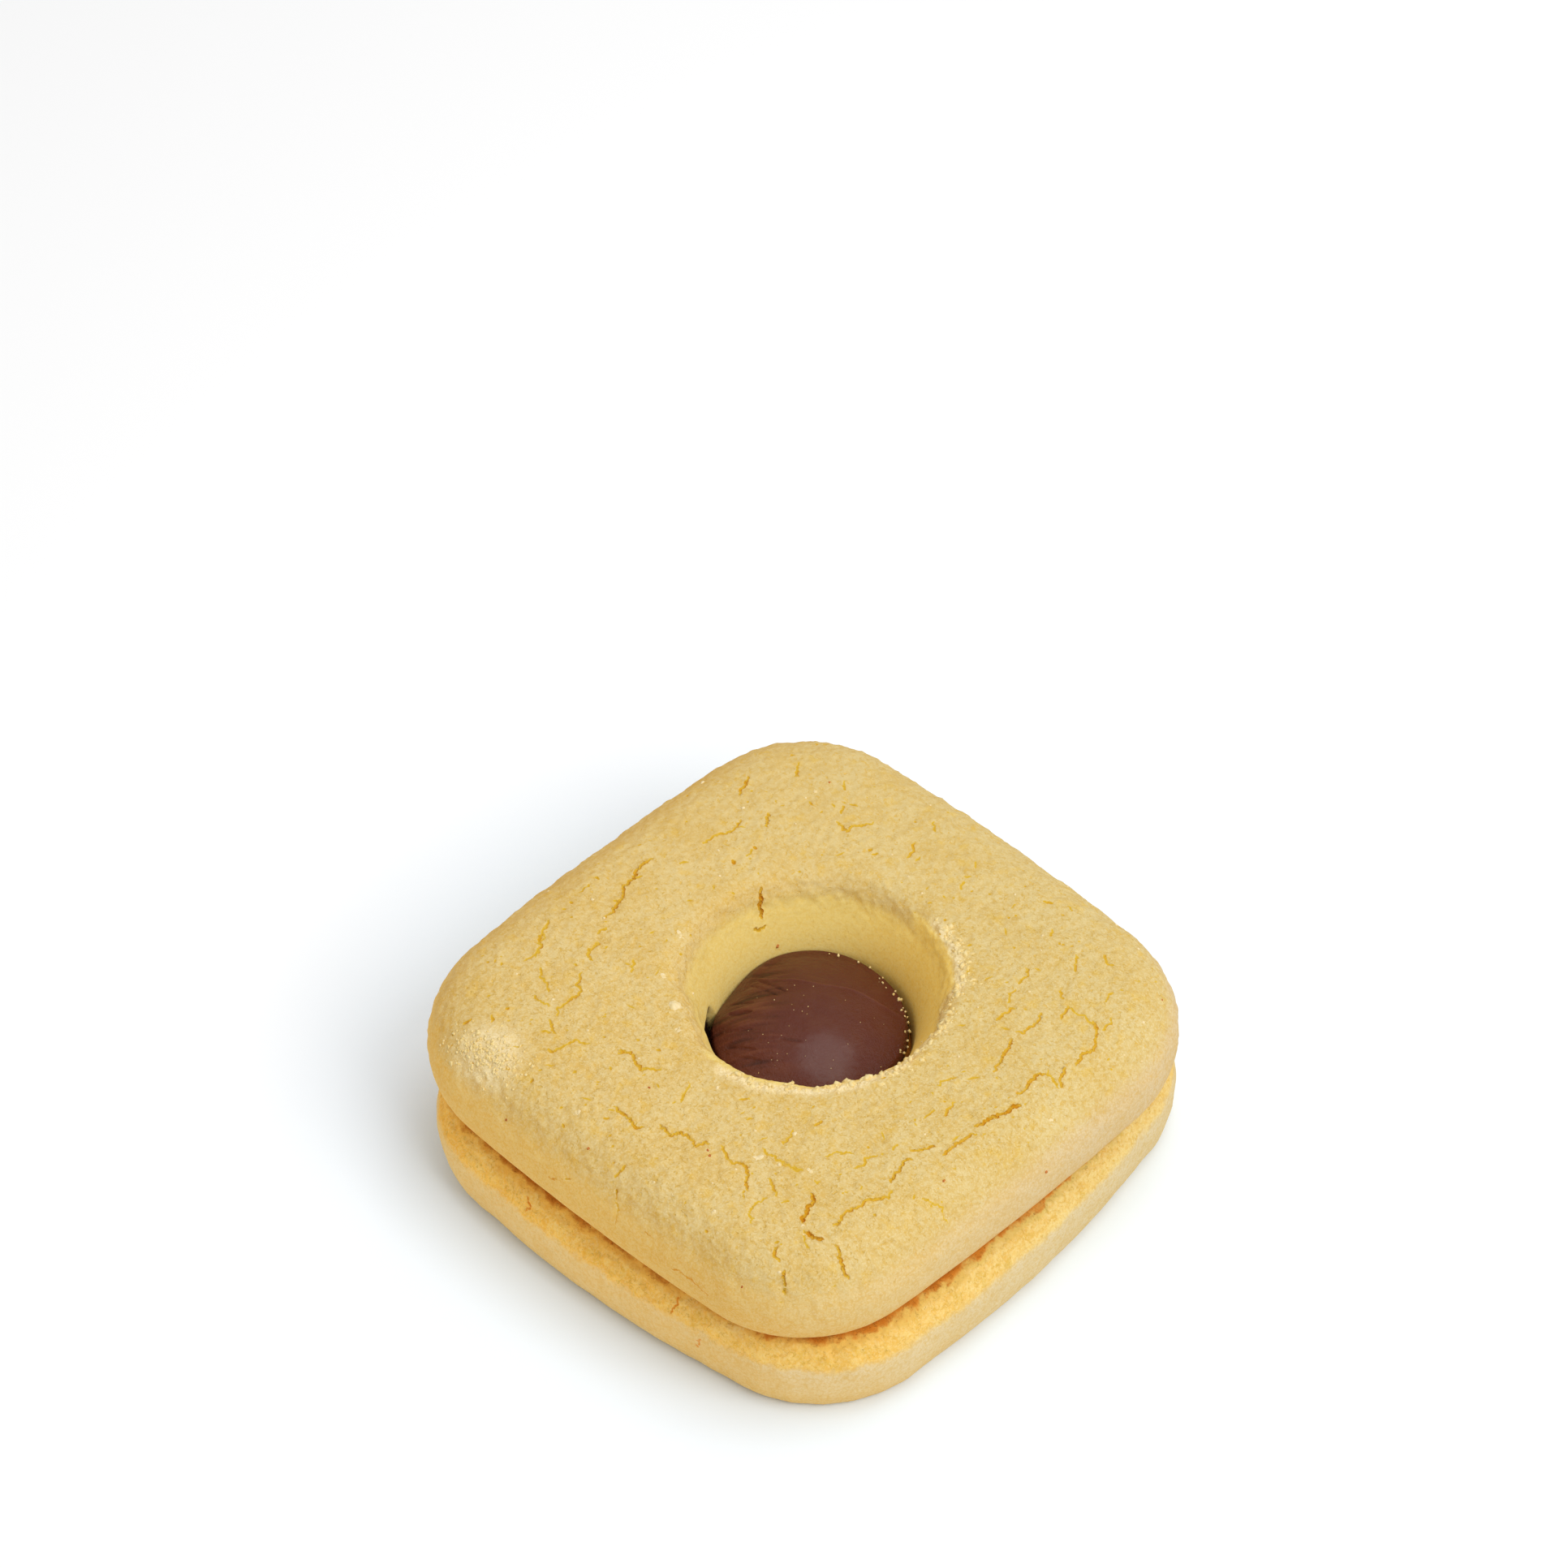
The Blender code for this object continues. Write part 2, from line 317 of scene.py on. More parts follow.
    # painted shade: the wall in the gap beside the cream is painted near black
    gapShadeEdge = gapShade + (mottle - 0.5) * 0.4 * (gapShade * (1 - gapShade) * 4)
    colour = gapShadeEdge.rise(0.2, 0.6).blend(colour, look["gapShade"])
    feed(wire, shader, "Base Color", colour)

    grainRelief = (grains * 0.25 + smallGrains * 0.3) * (0.4 + nearward * 0.5)
    relief = mottle * 0.3 - grainRelief + fine * 0.18 - hairlines * 0.2 - pits * 0.5
    relief = relief * (1 - wall * 0.35) * (1 - crack * 0.8) * (1 + seam * 1.5)
    relief = relief * (0.6 + nearward * 0.4) * (1 - shaded * 0.6)
    relief = wire.add("ShaderNodeBump", {}, {"Height": relief, "Strength": 1, "Distance": look["bump"]})
    feed(wire, shader, "Normal", relief)
    return material


creamLook = {
    "brown": tint(91, 44, 27),
    "red": tint(88, 39, 25),
    # darker and lighter drag streaks; the dark also paints shade in the furrows and the light a highlight on the fold's
    # crest
    "darkStreakAndShade": tint(58, 25, 15),
    "light": tint(104, 54, 34),
    "sheen": (1017, 1300),  # photo pixel at the middle of the bright patch
    "sheenReach": (1.6, 3.4),  # millimetres from there, full and faded out
    "bump": 0.00012,
}


def makeCream(look, surface):
    material, shader, wire, place = startMaterial("hazelnutCream", {
        "Specular IOR Level": 0.22, "Subsurface Weight": 0.05,
        "Subsurface Radius": (1.0, 0.4, 0.2), "Subsurface Scale": 0.0005,
        "Coat Roughness": 0.2, "Coat IOR": 1.6,
    })
    streak = wire.add("ShaderNodeAttribute", {"attribute_name": "streak"}, {}, 2)
    soft = noiseIn(wire, place, 2.4, 3, 0.5)
    fine = noiseIn(wire, place, 0.12, 3, 0.6)
    colour = soft.rise(0.35, 0.65).blend(look["brown"], look["red"])
    # drag streaks, with a painted highlight on the fold's crest and painted shade in the furrows
    colour = streak.rise(0.5, 1.0).blend(colour, look["light"])
    colour = streak.fall(0.0, 0.5).blend(colour, look["darkStreakAndShade"])
    feed(wire, shader, "Base Color", colour)
    feed(wire, shader, "Roughness", 0.05 + soft * 0.05 + fine * 0.05)
    wrinkles = noiseIn(wire, place, 0.45, 4, 0.65)
    sheen = pinned(surface, *look["sheen"])[0]
    off = wire.add("ShaderNodeVectorMath", {"operation": "DISTANCE"}, {0: place, 1: tuple(sheen / mm)}, 1)
    patch = (off + (wrinkles - 0.5) * 3 + (soft - 0.5) * 2).fall(*look["sheenReach"])
    feed(wire, shader, "Coat Weight", patch * (0.08 + fine * 0.2))
    relief = fine * 0.6 + wrinkles
    relief = wire.add("ShaderNodeBump", {}, {"Height": relief, "Strength": 1, "Distance": look["bump"]})
    feed(wire, shader, "Normal", relief)
    return material


# Mesh helpers

def pickOnly(piece):
    bpy.ops.object.select_all(action="DESELECT")
    piece.select_set(True)
    bpy.context.view_layer.objects.active = piece


def copyNode(name):
    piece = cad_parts[nodeOf[name]].copy()
    piece.data = piece.data.copy()
    for key in list(piece.keys()):
        del piece[key]
    piece.parent = None
    piece.name = name
    piece.data.name = name
    piece.data.materials.clear()
    bpy.context.scene.collection.objects.link(piece)
    pickOnly(piece)
    bpy.ops.object.mode_set(mode="EDIT")
    bpy.ops.mesh.select_all(action="SELECT")
    bpy.ops.mesh.remove_doubles(threshold=0.002 * mm)
    bpy.ops.object.mode_set(mode="OBJECT")
    return piece


def modify(piece, kind, **settings):
    pickOnly(piece)
    modifier = piece.modifiers.new(kind.title(), kind)
    for name, value in settings.items():
        setattr(modifier, name, value)
    bpy.ops.object.modifier_apply(modifier=modifier.name)


def read(group, name):
    values = np.empty(len(group) * 3)
    group.foreach_get(name, values)
    return values.reshape(-1, 3)


def points(piece):
    return read(piece.data.vertices, "co")


def normals(piece):
    return read(piece.data.vertices, "normal")


def movePoints(piece, places):
    piece.data.vertices.foreach_set("co", places.astype(np.float32).ravel())
    piece.data.update()


def paint(piece, name, values):
    layer = piece.data.attributes.get(name) or piece.data.attributes.new(name, "FLOAT", "POINT")
    layer.data.foreach_set("value", np.clip(values, 0, 1).astype(np.float32))


def ease(values, low, high):
    share = np.clip((values - low) / (high - low), 0, 1)
    return share * share * (3 - 2 * share)


def selectFaces(piece, chosen):
    pickOnly(piece)
    bpy.context.tool_settings.mesh_select_mode = (False, False, True)
    bpy.ops.object.mode_set(mode="EDIT")
    bpy.ops.mesh.select_all(action="DESELECT")
    bpy.ops.object.mode_set(mode="OBJECT")
    piece.data.polygons.foreach_set("select", chosen)
    bpy.ops.object.mode_set(mode="EDIT")


def subdivideFaces(piece, chosen):
    selectFaces(piece, chosen)
    bpy.ops.mesh.subdivide(number_cuts=1)
    bpy.ops.object.mode_set(mode="OBJECT")


def thinFaces(piece, chosen, keep):
    selectFaces(piece, chosen)
    bpy.ops.mesh.decimate(ratio=keep)
    bpy.ops.object.mode_set(mode="OBJECT")


def faceCentres(piece):
    return read(piece.data.polygons, "center")


def roundFaces(piece):
    pickOnly(piece)
    bpy.ops.object.shade_smooth()


def surfaceOf(piece):
    return BVHTree.FromObject(piece, bpy.context.evaluated_depsgraph_get())


# the place on a surface that a pixel of the photo shows
def pinned(surface, x, y):
    half = cameraLook["photoSize"] / 2
    spread = cameraLook["sensor"] / cameraLook["lens"] / cameraLook["photoSize"]
    sight = cameraTurn @ Vector(((x - half) * spread, (half - y) * spread, -1))
    return surface.ray_cast(cameraPlace, sight.normalized())[:2]


# the place on a surface straight below a spot
def below(surface, spot):
    return surface.ray_cast(spot, Vector((0, 0, -1)))[:2]


def waver(place, size, seed=0.0):
    return noise.noise(Vector(place) / (size * mm) + Vector((seed, seed * 1.7, -seed)))


# Cracks and pits: width, depth in millimetres, then the pixels that they pass through

topCracks = {
    "farLeft": (0.36, 0.5, [(804, 1056), (794, 1063), (783, 1071), (781, 1081), (773, 1087), (768, 1092), (767, 1104),
                            (756, 1118), (754, 1122), (745, 1131)]),
    "farLeftBranch": (0.16, 0.2, [(781, 1081), (791, 1078)]),
    "farLeftThread": (0.14, 0.15, [(746, 1141), (736, 1150)]),
    "farLeftTail": (0.2, 0.25, [(737, 1159), (728, 1170), (725, 1179)]),
    "leftA": (0.16, 0.16, [(675, 1133), (669, 1153), (659, 1179)]),
    "leftB": (0.18, 0.2, [(715, 1197), (711, 1210), (715, 1220), (704, 1229), (687, 1242), (687, 1251)]),
    "leftC": (0.2, 0.25, [(678, 1256), (679, 1270), (685, 1274)]),
    "leftThread": (0.12, 0.1, [(714, 1099), (728, 1089)]),
    "farA": (0.4, 0.35, [(921, 956), (918, 966), (910, 978)]),
    "farB": (0.22, 0.22, [(914, 1010), (900, 1024), (891, 1026), (878, 1030), (866, 1038)]),
    "farC": (0.22, 0.22, [(1031, 1012), (1044, 1025), (1053, 1018), (1077, 1012)]),
    "farD": (0.34, 0.3, [(1126, 1038), (1125, 1049), (1118, 1056)]),
    "farE": (0.16, 0.16, [(983, 938), (982, 956)]),
    "farF": (0.2, 0.25, [(946, 1000), (944, 1018)]),
    "farG": (0.16, 0.14, [(1041, 962), (1041, 974)]),
    "farH": (0.16, 0.14, [(1039, 992), (1038, 1002)]),
    "farI": (0.16, 0.14, [(1150, 1012), (1152, 1025)]),
    "farJ": (0.2, 0.16, [(1184, 1094), (1187, 1084)]),
    "farK": (0.2, 0.16, [(1202, 1061), (1203, 1069)]),
    "frontLeft": (0.24, 0.35, [(756, 1362), (769, 1371), (777, 1378), (782, 1388), (794, 1387)]),
    "frontMidA": (0.3, 0.4, [(813, 1385), (826, 1399), (833, 1394), (846, 1396), (857, 1410), (874, 1407)]),
    "frontMidB": (0.22, 0.25, [(888, 1411), (892, 1419), (897, 1427)]),
    "frontMidC": (0.32, 0.45, [(896, 1427), (919, 1436), (921, 1450), (919, 1467)]),
    "frontMidD": (0.2, 0.22, [(946, 1450), (955, 1464), (956, 1473)]),
    "frontMidE": (0.13, 0.12, [(955, 1427), (968, 1435), (986, 1443)]),
    "frontA": (0.46, 0.6, [(1000, 1470), (1003, 1479), (993, 1493), (989, 1505)]),
    "frontB": (0.5, 0.6, [(995, 1516), (1002, 1524), (1014, 1527)]),
    "frontC": (0.28, 0.45, [(1030, 1534), (1036, 1547), (1038, 1562), (1046, 1576)]),
    "frontD": (0.26, 0.35, [(959, 1536), (955, 1546), (959, 1555)]),
    "frontE": (0.3, 0.4, [(966, 1566), (965, 1581), (967, 1597)]),
    "frontG": (0.16, 0.14, [(1137, 1477), (1160, 1487), (1168, 1508)]),
    "nearRightA": (0.3, 0.4, [(1028, 1511), (1041, 1495), (1055, 1487), (1073, 1478), (1095, 1474)]),
    "nearRightB": (0.36, 0.5, [(1097, 1456), (1109, 1439), (1113, 1430), (1124, 1427)]),
    "nearRightC": (0.36, 0.45, [(1122, 1417), (1137, 1415), (1152, 1412)]),
    "nearRightD": (0.36, 0.5, [(1162, 1422), (1178, 1409), (1200, 1396)]),
    "nearRightE": (0.46, 0.6, [(1201, 1388), (1225, 1376), (1240, 1369), (1257, 1360)]),
    "nearRightF": (0.34, 0.5, [(1254, 1348), (1269, 1331), (1280, 1324), (1288, 1323)]),
    "nearRightG": (0.32, 0.4, [(1307, 1340), (1309, 1328), (1313, 1315)]),
    "nearRightH": (0.3, 0.35, [(1325, 1312), (1328, 1305), (1337, 1299), (1348, 1292), (1351, 1284), (1350, 1274),
                               (1352, 1267), (1346, 1257)]),
    "rightA": (0.34, 0.45, [(1224, 1319), (1234, 1305), (1241, 1296), (1247, 1279)]),
    "rightB": (0.32, 0.3, [(1252, 1272), (1262, 1272), (1270, 1264), (1280, 1258), (1283, 1248)]),
    "rightC": (0.36, 0.35, [(1305, 1254), (1311, 1248), (1315, 1239)]),
    "rightD": (0.22, 0.2, [(1308, 1220), (1309, 1231)]),
    "rightE": (0.18, 0.16, [(1325, 1176), (1326, 1197)]),
    "rightF": (0.22, 0.2, [(1371, 1253), (1365, 1262), (1361, 1269)]),
    "rightG": (0.3, 0.2, [(1359, 1176), (1363, 1186), (1373, 1189)]),
    "rightH": (0.18, 0.12, [(1371, 1222), (1364, 1228), (1362, 1234)]),
    "rightI": (0.2, 0.16, [(1250, 1217), (1244, 1224), (1243, 1236)]),
    "rightJ": (0.36, 0.25, [(1250, 1242), (1237, 1250), (1228, 1257)]),
    "rightK": (0.26, 0.2, [(1265, 1192), (1265, 1202), (1256, 1210)]),
    "rightL": (0.16, 0.12, [(1295, 1144), (1296, 1153)]),
    "nearA": (0.24, 0.25, [(1177, 1356), (1168, 1364), (1165, 1374)]),
    "nearB": (0.12, 0.1, [(1154, 1336), (1163, 1330), (1178, 1327)]),
    "nearC": (0.16, 0.12, [(1138, 1377), (1152, 1366)]),
    "nearD": (0.26, 0.2, [(1080, 1421), (1069, 1425), (1059, 1435), (1052, 1438)]),
    "nearE": (0.3, 0.25, [(1004, 1388), (1012, 1380)]),
    "nearF": (0.22, 0.25, [(978, 1391), (974, 1398), (966, 1410)]),
    "nearG": (0.18, 0.14, [(852, 1335), (847, 1342), (838, 1357)]),
    "nearLeftA": (0.36, 0.35, [(762, 1294), (778, 1295), (782, 1306), (785, 1314), (792, 1319)]),
    "slit": (0.42, 0.7, [(938, 1094), (938, 1108), (938, 1120), (938, 1132)]),
    "slitFork": (0.3, 0.3, [(930, 1147), (944, 1141)]),
    "shoulderA": (0.2, 0.2, [(771, 1435), (762, 1445), (758, 1451)]),
    "shoulderB": (0.14, 0.12, [(758, 1468), (761, 1492), (757, 1510)]),
    "shoulderC": (0.12, 0.1, [(675, 1452), (703, 1454)]),
    "shoulderD": (0.1, 0.08, [(826, 1561), (844, 1572), (861, 1587), (871, 1599)]),
    "shoulderE": (0.12, 0.1, [(793, 1518), (801, 1525)]),
    "orangeSlit": (0.34, 0.25, [(570, 1261), (581, 1255)]),
    "pitA": (0.55, 0.35, [(930, 1043), (931, 1044)]),
    "pitATail": (0.2, 0.15, [(928, 1046), (919, 1054)]),
    "pitB": (0.65, 0.25, [(903, 1059), (905, 1063)]),
    "pitC": (0.4, 0.3, [(899, 1023), (901, 1024)]),
    "pitD": (0.3, 0.3, [(676, 1293), (681, 1296)]),
    "pitE": (0.34, 0.3, [(653, 1332), (655, 1329)]),
    "pitF": (0.36, 0.2, [(1197, 1097), (1199, 1096)]),
    "pitG": (0.34, 0.3, [(1071, 1047), (1074, 1046)]),
    "pitH": (0.4, 0.2, [(1077, 1496), (1078, 1498)]),
    "pitI": (0.3, 0.2, [(921, 986), (921, 987)]),
    "pitJ": (0.36, 0.2, [(1256, 1211), (1259, 1209)]),
    "pitK": (0.3, 0.3, [(758, 1467), (759, 1469)]),
    "pitL": (0.3, 0.18, [(1127, 1011), (1128, 1012)]),
    "pitM": (0.26, 0.2, [(1305, 1161), (1306, 1163)]),
    "pitN": (0.26, 0.2, [(1320, 1165), (1322, 1165)]),
    "leftD": (0.26, 0.2, [(673, 1140), (665, 1156), (665, 1172), (644, 1184)]),
    "leftE": (0.22, 0.2, [(667, 1191), (668, 1202), (676, 1221)]),
    "leftF": (0.2, 0.15, [(657, 1226), (676, 1241)]),
    "leftG": (0.24, 0.2, [(730, 1183), (725, 1175), (737, 1159)]),
    "leftH": (0.2, 0.15, [(782, 1182), (778, 1198)]),
    "leftI": (0.24, 0.2, [(679, 1272), (668, 1271)]),
    "leftJ": (0.2, 0.15, [(679, 1295), (700, 1288), (708, 1281), (727, 1287)]),
    "leftK": (0.2, 0.15, [(789, 1319), (816, 1315)]),
    "leftPitA": (0.4, 0.3, [(624, 1242), (626, 1242)]),
    "leftPitB": (0.34, 0.2, [(606, 1249), (606, 1258)]),
    "leftPitC": (0.3, 0.2, [(743, 1277), (745, 1278)]),
    "leftPitD": (0.3, 0.2, [(762, 1296), (770, 1296)]),
    "leftPitE": (0.3, 0.2, [(625, 1316), (627, 1317)]),
    "leftPitF": (0.3, 0.2, [(664, 1318), (667, 1318)]),
    "leftPitG": (0.3, 0.2, [(708, 1319), (710, 1321)]),
    "leftPitH": (0.3, 0.2, [(785, 1280), (787, 1281)]),
    "leftPitI": (0.4, 0.2, [(810, 1292), (813, 1294)]),
    "leftPitJ": (0.5, 0.15, [(745, 1377), (750, 1377)]),
    "rightM": (0.2, 0.15, [(1317, 1242), (1333, 1250), (1349, 1261)]),
    "rightN": (0.2, 0.15, [(1289, 1320), (1297, 1330), (1305, 1341)]),
    "rightO": (0.2, 0.12, [(1399, 1207), (1427, 1209)]),
    "rightP": (0.2, 0.12, [(1316, 1115), (1321, 1122)]),
    "rightQ": (0.3, 0.12, [(1285, 1110), (1298, 1112)]),
    "rightR": (0.2, 0.12, [(1246, 1117), (1251, 1114)]),
    "farPitA": (0.3, 0.2, [(703, 1111), (705, 1112)]),
    "farPitB": (0.4, 0.15, [(734, 1081), (738, 1083)]),
    "farPitC": (0.3, 0.15, [(808, 1094), (810, 1095)]),
    "farPitD": (0.3, 0.15, [(903, 1100), (905, 1101)]),
    "cornerA": (0.24, 0.15, [(939, 1414), (946, 1421), (955, 1425), (966, 1433), (972, 1437)]),
    "cornerB": (0.2, 0.12, [(979, 1436), (989, 1443)]),
    "cornerC": (0.22, 0.14, [(946, 1475), (934, 1481), (925, 1487), (922, 1495), (929, 1500), (925, 1506)]),
    "cornerD": (0.22, 0.12, [(962, 1479), (972, 1478)]),
    "cornerE": (0.2, 0.12, [(990, 1513), (990, 1522), (995, 1538)]),
    "cornerF": (0.26, 0.15, [(1003, 1454), (1007, 1457), (1010, 1453)]),
    "cornerG": (0.2, 0.1, [(1017, 1423), (1030, 1419), (1042, 1418), (1053, 1420)]),
    "cornerH": (0.2, 0.1, [(1061, 1466), (1063, 1461)]),
    "cornerI": (0.26, 0.15, [(1100, 1417), (1105, 1409)]),
    "cornerJ": (0.22, 0.12, [(1096, 1478), (1096, 1472), (1098, 1466)]),
}

# shares of the widths and depths above, then layers of size, height and seed that bend and swell a crack
crackShare = {
    "width": 0.33,
    "depth": 0.34,
    "least": 0.11,
    "step": 0.03,
    "swing": [(0.7, 0.2, 0), (0.3, 0.22, 5), (0.13, 0.09, 7)],
    "swell": [(0.6, 0.6, 9), (0.17, 0.8, 3)],
    "thinnest": 0.75,
    "endWidth": 0.55,
}

# pale crumbly ridge along the right and near rim, in photo pixels
rimRidge = {
    "right": [(1152, 1140), (1166, 1158), (1177, 1181), (1180, 1214), (1160, 1242), (1158, 1263), (1142, 1280),
              (1114, 1308), (1094, 1318), (1073, 1327)],
    "near": [(1062, 1332), (1047, 1331), (1030, 1339), (1000, 1343), (971, 1340), (945, 1338), (924, 1333),
             (912, 1327), (890, 1317)],
}

baseCracks = {
    "underLip": (0.3, 0.18, [(652, 1473), (651, 1487), (646, 1492)]),
    "underFront": (0.28, 0.18, [(838, 1598), (834, 1603), (828, 1613), (826, 1620)]),
    "nearFront": (0.14, 0.15, [(860, 1650), (860, 1662)]),
}


# dense points along each crack, with a width that swells and pinches
def followCracks(surface, cracks):
    share = crackShare
    trail = []
    for number, (width, depth, picks) in enumerate(cracks.values()):
        width = max(width * share["width"], share["least"]) * mm
        depth = depth * share["depth"] * mm
        pins = [pinned(surface, x, y) for x, y in picks]
        pins = [(place, normal) for place, normal in pins if place is not None]
        if len(pins) < 2:
            continue
        runs = [(second[0] - first[0]).length for first, second in zip(pins, pins[1:])]
        length = sum(runs)
        done = 0
        for (start, normal), (end, _), run in zip(pins, pins[1:], runs):
            steps = max(2, int(run / (share["step"] * mm)))
            across = (end - start).cross(normal).normalized()
            for step in range(steps):
                along = (done + run * (step / steps)) / length
                place = start.lerp(end, step / steps)
                ends = min(1, 5 * min(along, 1 - along) + share["endWidth"]) if length > 0.6 * mm else 1
                swing = sum(waver(place, size, number + seed) * height for size, height, seed in share["swing"])
                swell = sum((waver(place, size, number + seed) * height for size, height, seed in share["swell"]), 1)
                place = place + across * swing * mm * min(1, length / (1.2 * mm))
                trail.append((place, width * ends * max(share["thinnest"], swell), depth * ends))
            done += run
    return trail


markLook = {
    "count": 200,
    "seed": 77,
    "turn": (60, 40),  # degrees, mean and spread
    "lengths": [0.15, 0.3, 0.3, 0.5, 0.9],
    "width": (0.08, 0.17),
    "depth": (0.03, 0.08),
    "step": 0.05,
    "bend": 0.1,
}


def onFace(spot):
    return (Vector(spot[:2]) - wellCentre).length > 11.8 * mm and max(abs(spot.x), abs(spot.y)) < 25 * mm


# small marks at random on the face
def scatterMarks(surface, look):
    chance = random.Random(look["seed"])
    trail = []
    count = look["count"]
    while count > 0:
        spot = Vector((chance.uniform(-27, 27), chance.uniform(-27, 27), 25)) * mm
        if not onFace(spot):
            continue
        place, normal = below(surface, spot)
        if place is None or place.z < 14 * mm:
            continue
        count -= 1
        turn = math.radians(chance.gauss(*look["turn"]))
        length = chance.choice(look["lengths"]) * mm * chance.uniform(0.7, 1.3)
        width = chance.uniform(*look["width"]) * mm
        depth = chance.uniform(*look["depth"]) * mm
        heading = Vector((math.cos(turn), math.sin(turn), 0))
        across = heading.cross(Vector((0, 0, 1)))
        steps = max(2, int(length / (look["step"] * mm)))
        for step in range(steps):
            share = step / steps - 0.5
            spread = 1 - 0.6 * abs(share * 2)
            point = place + heading * share * length
            point = point + across * waver(point, 0.3, count) * look["bend"] * mm
            trail.append((point, width * spread, depth * spread))
    return trail


def treeOf(places):
    tree = KDTree(len(places))
    for number, place in enumerate(places):
        tree.insert(place, number)
    tree.balance()
    return tree


def nearCracks(centres, tree, trail, reach):
    chosen = np.zeros(len(centres), bool)
    for number, centre in enumerate(centres):
        found = tree.find(centre)
        chosen[number] = found[2] < reach + trail[found[1]][1] * 0.5
    return chosen


def cutCracks(piece, nearest, trail):
    places, faces = points(piece), normals(piece)
    crackShadeTone = np.zeros(len(places))
    for number, (_, index, distance) in enumerate(nearest):
        half, depth = trail[index][1] * 0.5, trail[index][2]
        if distance > half * 1.6 + 0.08 * mm:
            continue
        opened = 1 - min(1, max(0, (distance - half * 0.3) / (half * 0.8 + 0.03 * mm)))
        places[number] -= faces[number] * depth * opened * opened * (3 - 2 * opened)
        # painted shade: the crack is painted darker the wider and deeper it is
        shade = 1 - min(1, max(0, (distance - half * 0.7) / (half * 0.5 + 0.045 * mm)))
        crackShadeTone[number] = shade * min(1, 0.35 + half / mm * 4.5 + depth / mm * 0.4)
    movePoints(piece, places)
    paint(piece, "crack", crackShadeTone)


# dense points along the pixels of a line on a surface
def followLine(surface, picks):
    pins = [pinned(surface, x, y)[0] for x, y in picks]
    pins = [place for place in pins if place is not None]
    line = []
    for start, end in zip(pins, pins[1:]):
        steps = max(2, int((end - start).length / (0.1 * mm)))
        line += [start.lerp(end, step / steps) for step in range(steps)]
    return line


# fractal lumps and grain along the normals
def roughen(piece, layers, mask=None):
    places, faces = points(piece), normals(piece)
    push = np.zeros(len(places))
    for size, height, seed in layers:
        shift = Vector((seed, seed * 2.1, -seed))
        scale = 1 / (size * mm)
        push += np.array([noise.noise(Vector(place) * scale + shift) for place in places]) * height * mm
    if mask is not None:
        push *= mask
    movePoints(piece, places + faces * push[:, None])


def smoothOut(piece, rounds, group=""):
    modify(piece, "SMOOTH", factor=0.5, iterations=rounds, vertex_group=group)


def tellTriangles(piece):
    print("  triangles", sum(len(face.vertices) - 2 for face in piece.data.polygons))


def keepInBox(piece, low, high):
    movePoints(piece, np.clip(points(piece), np.array(low) + 0.00001, np.array(high) - 0.00001))


print("top biscuit")

topLook = {
    "voxel": 0.42,
    "smooth": 9,
    "faceLevel": 15.9,
    "lumps": [(5.0, 0.15, 1.0), (1.9, 0.07, 2.0)],
    "edgeLumps": [(2.6, 0.07, 5.0), (0.8, 0.12, 6.0)],
    "grain": [(0.75, 0.11, 3.0), (0.42, 0.07, 4.0)],
    "keepUnder": 0.06,
    "keep": 0.66,
    "crackReach": (0.16, 0.07),  # millimetres beside the cracks that are divided first and again
    "ridgeReach": 1.1,
    "ridgeRounds": 24,
    "ridgeGrain": [(0.9, 0.12, 7.0), (0.42, 0.08, 8.0), (0.24, 0.03, 9.0)],
    "pale": (600, 1300),  # photo pixel at the middle of the dusty patch
    "paleReach": (1.5, 4.4),
    "inward": 0.1,
    "wallPush": {"from": 213, "to": 262, "reach": 1.25},  # degrees round the well and mm outwards
    "lipPull": {"from": 228, "to": 246, "reach": 0.6},
    "softRim": {"turn": 165, "spread": 80, "rounds": 90},
    "gapShade": {"from": 214, "to": 246, "top": 12.9},
}


# flat places in millimetres from the middle of the well, with their distance and their turn in degrees
def roundWell(places):
    flat = places[:, :2] / mm - np.array(wellCentre) / mm
    return flat, np.hypot(flat[:, 0], flat[:, 1]), np.degrees(np.arctan2(flat[:, 1], flat[:, 0])) % 360


def fromWell(places):
    return np.hypot(places[:, 0] - wellCentre.x, places[:, 1] - wellCentre.y)


# the wall of the well stands back beside the cream, and the lip above it leans in
def pushWall(piece, look):
    push = look["wallPush"]
    places = points(piece)
    flat, distance, turn = roundWell(places)
    share = ease(turn, push["from"] - 2, push["from"] + 3) * (1 - ease(turn, push["to"], push["to"] + 40))
    height = places[:, 2] / mm
    share *= (distance < 12.5) * (1 - ease(height, 11.4, 13.0)) * ease(height, 8.8, 9.4)
    shift = share * push["reach"]
    pull = look["lipPull"]
    share = ease(turn, pull["from"] - 6, pull["from"] + 4) * (1 - ease(turn, pull["to"], pull["to"] + 14))
    shift -= share * pull["reach"] * ease(height, 13.6, 16.0) * (1 - ease(distance, 11.5, 17.0))
    flat *= (1 + shift / np.maximum(distance, 1))[:, None]
    places[:, :2] = (flat + np.array(wellCentre) / mm) * mm
    movePoints(piece, places)


# 0 where the surface faces the softbox and 1 where it turns away
def shadeOf(piece):
    key = lightLook["key"]
    turn, rise = math.radians(key["turn"]), math.radians(key["rise"])
    light = [math.cos(turn) * math.cos(rise), math.sin(turn) * math.cos(rise), math.sin(rise)]
    return ease(1 - normals(piece) @ np.array(light), 0.25, 1.0)


